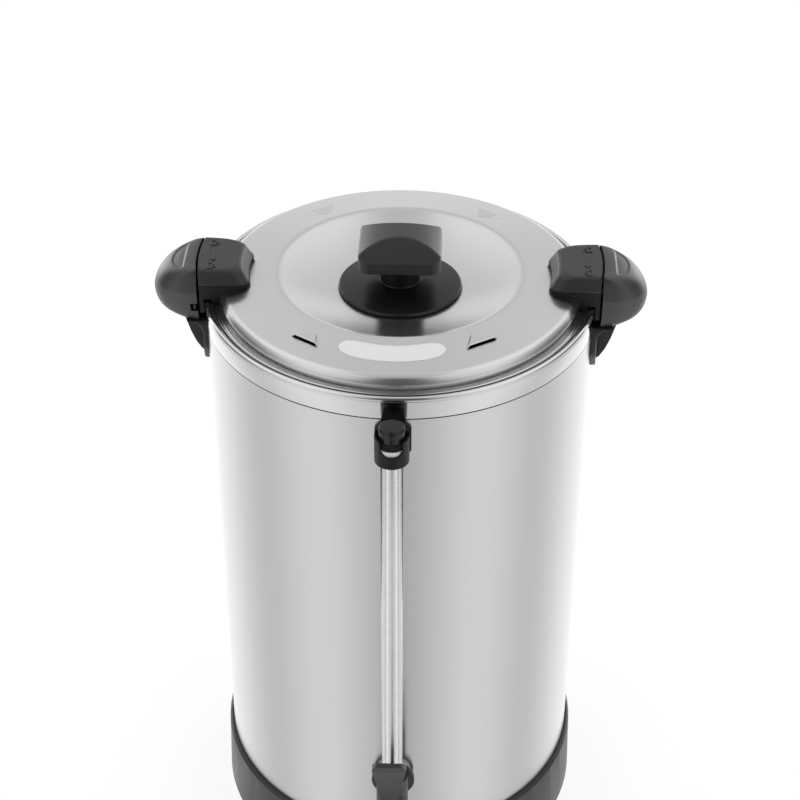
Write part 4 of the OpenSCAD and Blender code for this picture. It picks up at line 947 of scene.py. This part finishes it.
lens = bpy.data.cameras.new("photoCamera")
lens.sensor_width = view["film"]
lens.lens = view["lens"]
camera = bpy.data.objects.new("photoCamera", lens)
camera.location = view["place"]
turn, pitch, roll = [Matrix.Rotation(math.radians(view[key]), 3, axis)
                     for key, axis in (("turn", "Z"), ("pitch", "X"), ("roll", "Z"))]
camera.rotation_euler = (turn @ pitch @ roll).to_euler()
scene.collection.objects.link(camera)
scene.camera = camera

# round the horizon: cosine of the heading from the camera's side, and the level there. Below the horizon stands the
# lit table, which the walls mirror; just above it a bright panel on either side of the back, and the dim room at the
# sides; higher up an even ceiling, with a narrow dark strip on the camera's side
lowRing = [(-1.0, 1.35), (-0.94, 1.3), (-0.588, 1.08), (0.0, 0.73), (0.34, 0.86), (0.669, 0.95), (0.86, 0.84),
           (1.0, 0.62)]
highRing = [(-1.0, 1.0), (-0.985, 0.97), (-0.95, 1.0), (-0.91, 2.0), (-0.87, 3.2), (-0.72, 3.2), (-0.62, 2.0),
            (-0.52, 0.8), (-0.43, 0.22), (-0.27, 0.22), (-0.07, 0.22), (0.27, 0.5), (0.5, 0.75), (0.67, 0.78),
            (0.78, 0.64), (0.9, 0.4), (0.97, 0.18), (1.0, 0.1)]
midRing = [(-1.0, 0.74), (-0.97, 0.76), (-0.9, 0.98), (-0.8, 1.08), (-0.62, 0.95), (-0.45, 0.45), (-0.3, 0.45),
           (-0.07, 0.5), (0.27, 0.8), (0.5, 0.95), (0.7, 0.93), (0.85, 0.75), (0.94, 0.4), (0.985, 0.14), (1.0, 0.12)]
topRing = [(-1.0, 0.74), (-0.97, 0.76), (-0.9, 0.98), (-0.8, 1.1), (0.0, 1.05), (0.5, 1.0), (0.7, 0.93),
           (0.85, 0.75), (0.94, 0.4), (0.985, 0.14), (1.0, 0.12)]
# each ring, or a plain level, takes over from the one below between two heights on the unit sphere
climbs = [(highRing, -0.34, -0.1), (midRing, 0.2, 0.4), (topRing, 0.5, 0.75), (studio["zenith"], 0.93, 0.995)]


def ringLevel(tree, facing, ring):
    # a curve through the ring's points, scaled to between 0 and 1 and multiplied back
    top = max(level for heading, level in ring) * 1.1
    spots = [((heading + 1) / 2, level / top) for heading, level in ring]
    curve = addNode(tree, "FloatCurve", Value=mapped(tree, facing, 0, 1, -1, 1))
    line = curve.mapping.curves[0]
    line.points[0].location, line.points[1].location = spots[0], spots[-1]
    for spot in spots[1:-1]:
        line.points.new(*spot)
    curve.mapping.update()
    return addNode(tree, "Math", {"operation": "MULTIPLY"}, curve.outputs["Value"], top).outputs["Value"]


def studioWorld():
    # what the metal mirrors is the rings' level at that heading and height; the camera itself sees plain white
    world = bpy.data.worlds.new("studio")
    world.use_nodes = True
    scene.world = world
    tree = world.node_tree
    parts, flat = flatPart(tree, addNode(tree, "TexCoord").outputs["Generated"])
    turn = math.radians(view["turn"])
    facing = vectorMath(tree, "DOT_PRODUCT", vectorMath(tree, "NORMALIZE", flat),
                        (math.sin(turn), -math.cos(turn), 0), out="Value")
    level = ringLevel(tree, facing, lowRing)
    for ring, low, high in climbs:
        above = ring if isinstance(ring, float) else ringLevel(tree, facing, ring)
        rise = addNode(tree, "MapRange", {"interpolation_type": "SMOOTHSTEP"}, Value=parts["Z"], From_Min=low,
                       From_Max=high)
        level = mixed(tree, rise.outputs["Result"], level, above, "FLOAT")
    seen = addNode(tree, "LightPath").outputs["Is Camera Ray"]
    glow = feed(tree, tree.nodes["Background"], Color=(1, 1, 1, 1), Strength=mixed(tree, seen, level, 1.0, "FLOAT"))
    feed(tree, tree.nodes["World Output"], Surface=glow.outputs["Background"])


def studioFloor():
    # a flat sheet, partly glowing, that mirrored and refracted rays pass through
    half = studio["floorHalf"]
    mesh = bpy.data.meshes.new("studioFloor")
    mesh.from_pydata([(-half, -half, 0), (half, -half, 0), (half, half, 0), (-half, half, 0)], [], [(0, 1, 2, 3)])
    floor = bpy.data.objects.new("studioFloor", mesh)
    scene.collection.objects.link(floor)
    mat = bpy.data.materials.new("floorPaper")
    mat.use_nodes = True
    tree = mat.node_tree
    tree.nodes.remove(tree.nodes["Principled BSDF"])
    paper = addNode(tree, "BsdfDiffuse", Color=(studio["floorShade"],) * 3 + (1,)).outputs["BSDF"]
    glow = addNode(tree, "Emission", Strength=studio["floorStrength"]).outputs["Emission"]
    both = addNode(tree, "MixShader", (), studio["floorGlow"], paper, glow).outputs["Shader"]
    clear = addNode(tree, "BsdfTransparent").outputs["BSDF"]
    path = addNode(tree, "LightPath").outputs
    either = addNode(tree, "Math", {"operation": "MAXIMUM"}, path["Is Glossy Ray"],
                     path["Is Transmission Ray"]).outputs["Value"]
    final = addNode(tree, "MixShader", (), either, both, clear).outputs["Shader"]
    feed(tree, tree.nodes["Material Output"], Surface=final)
    mesh.materials.append(mat)


studioWorld()
studioFloor()

scene.view_settings.view_transform = "Standard"
print("light, camera and floor set")
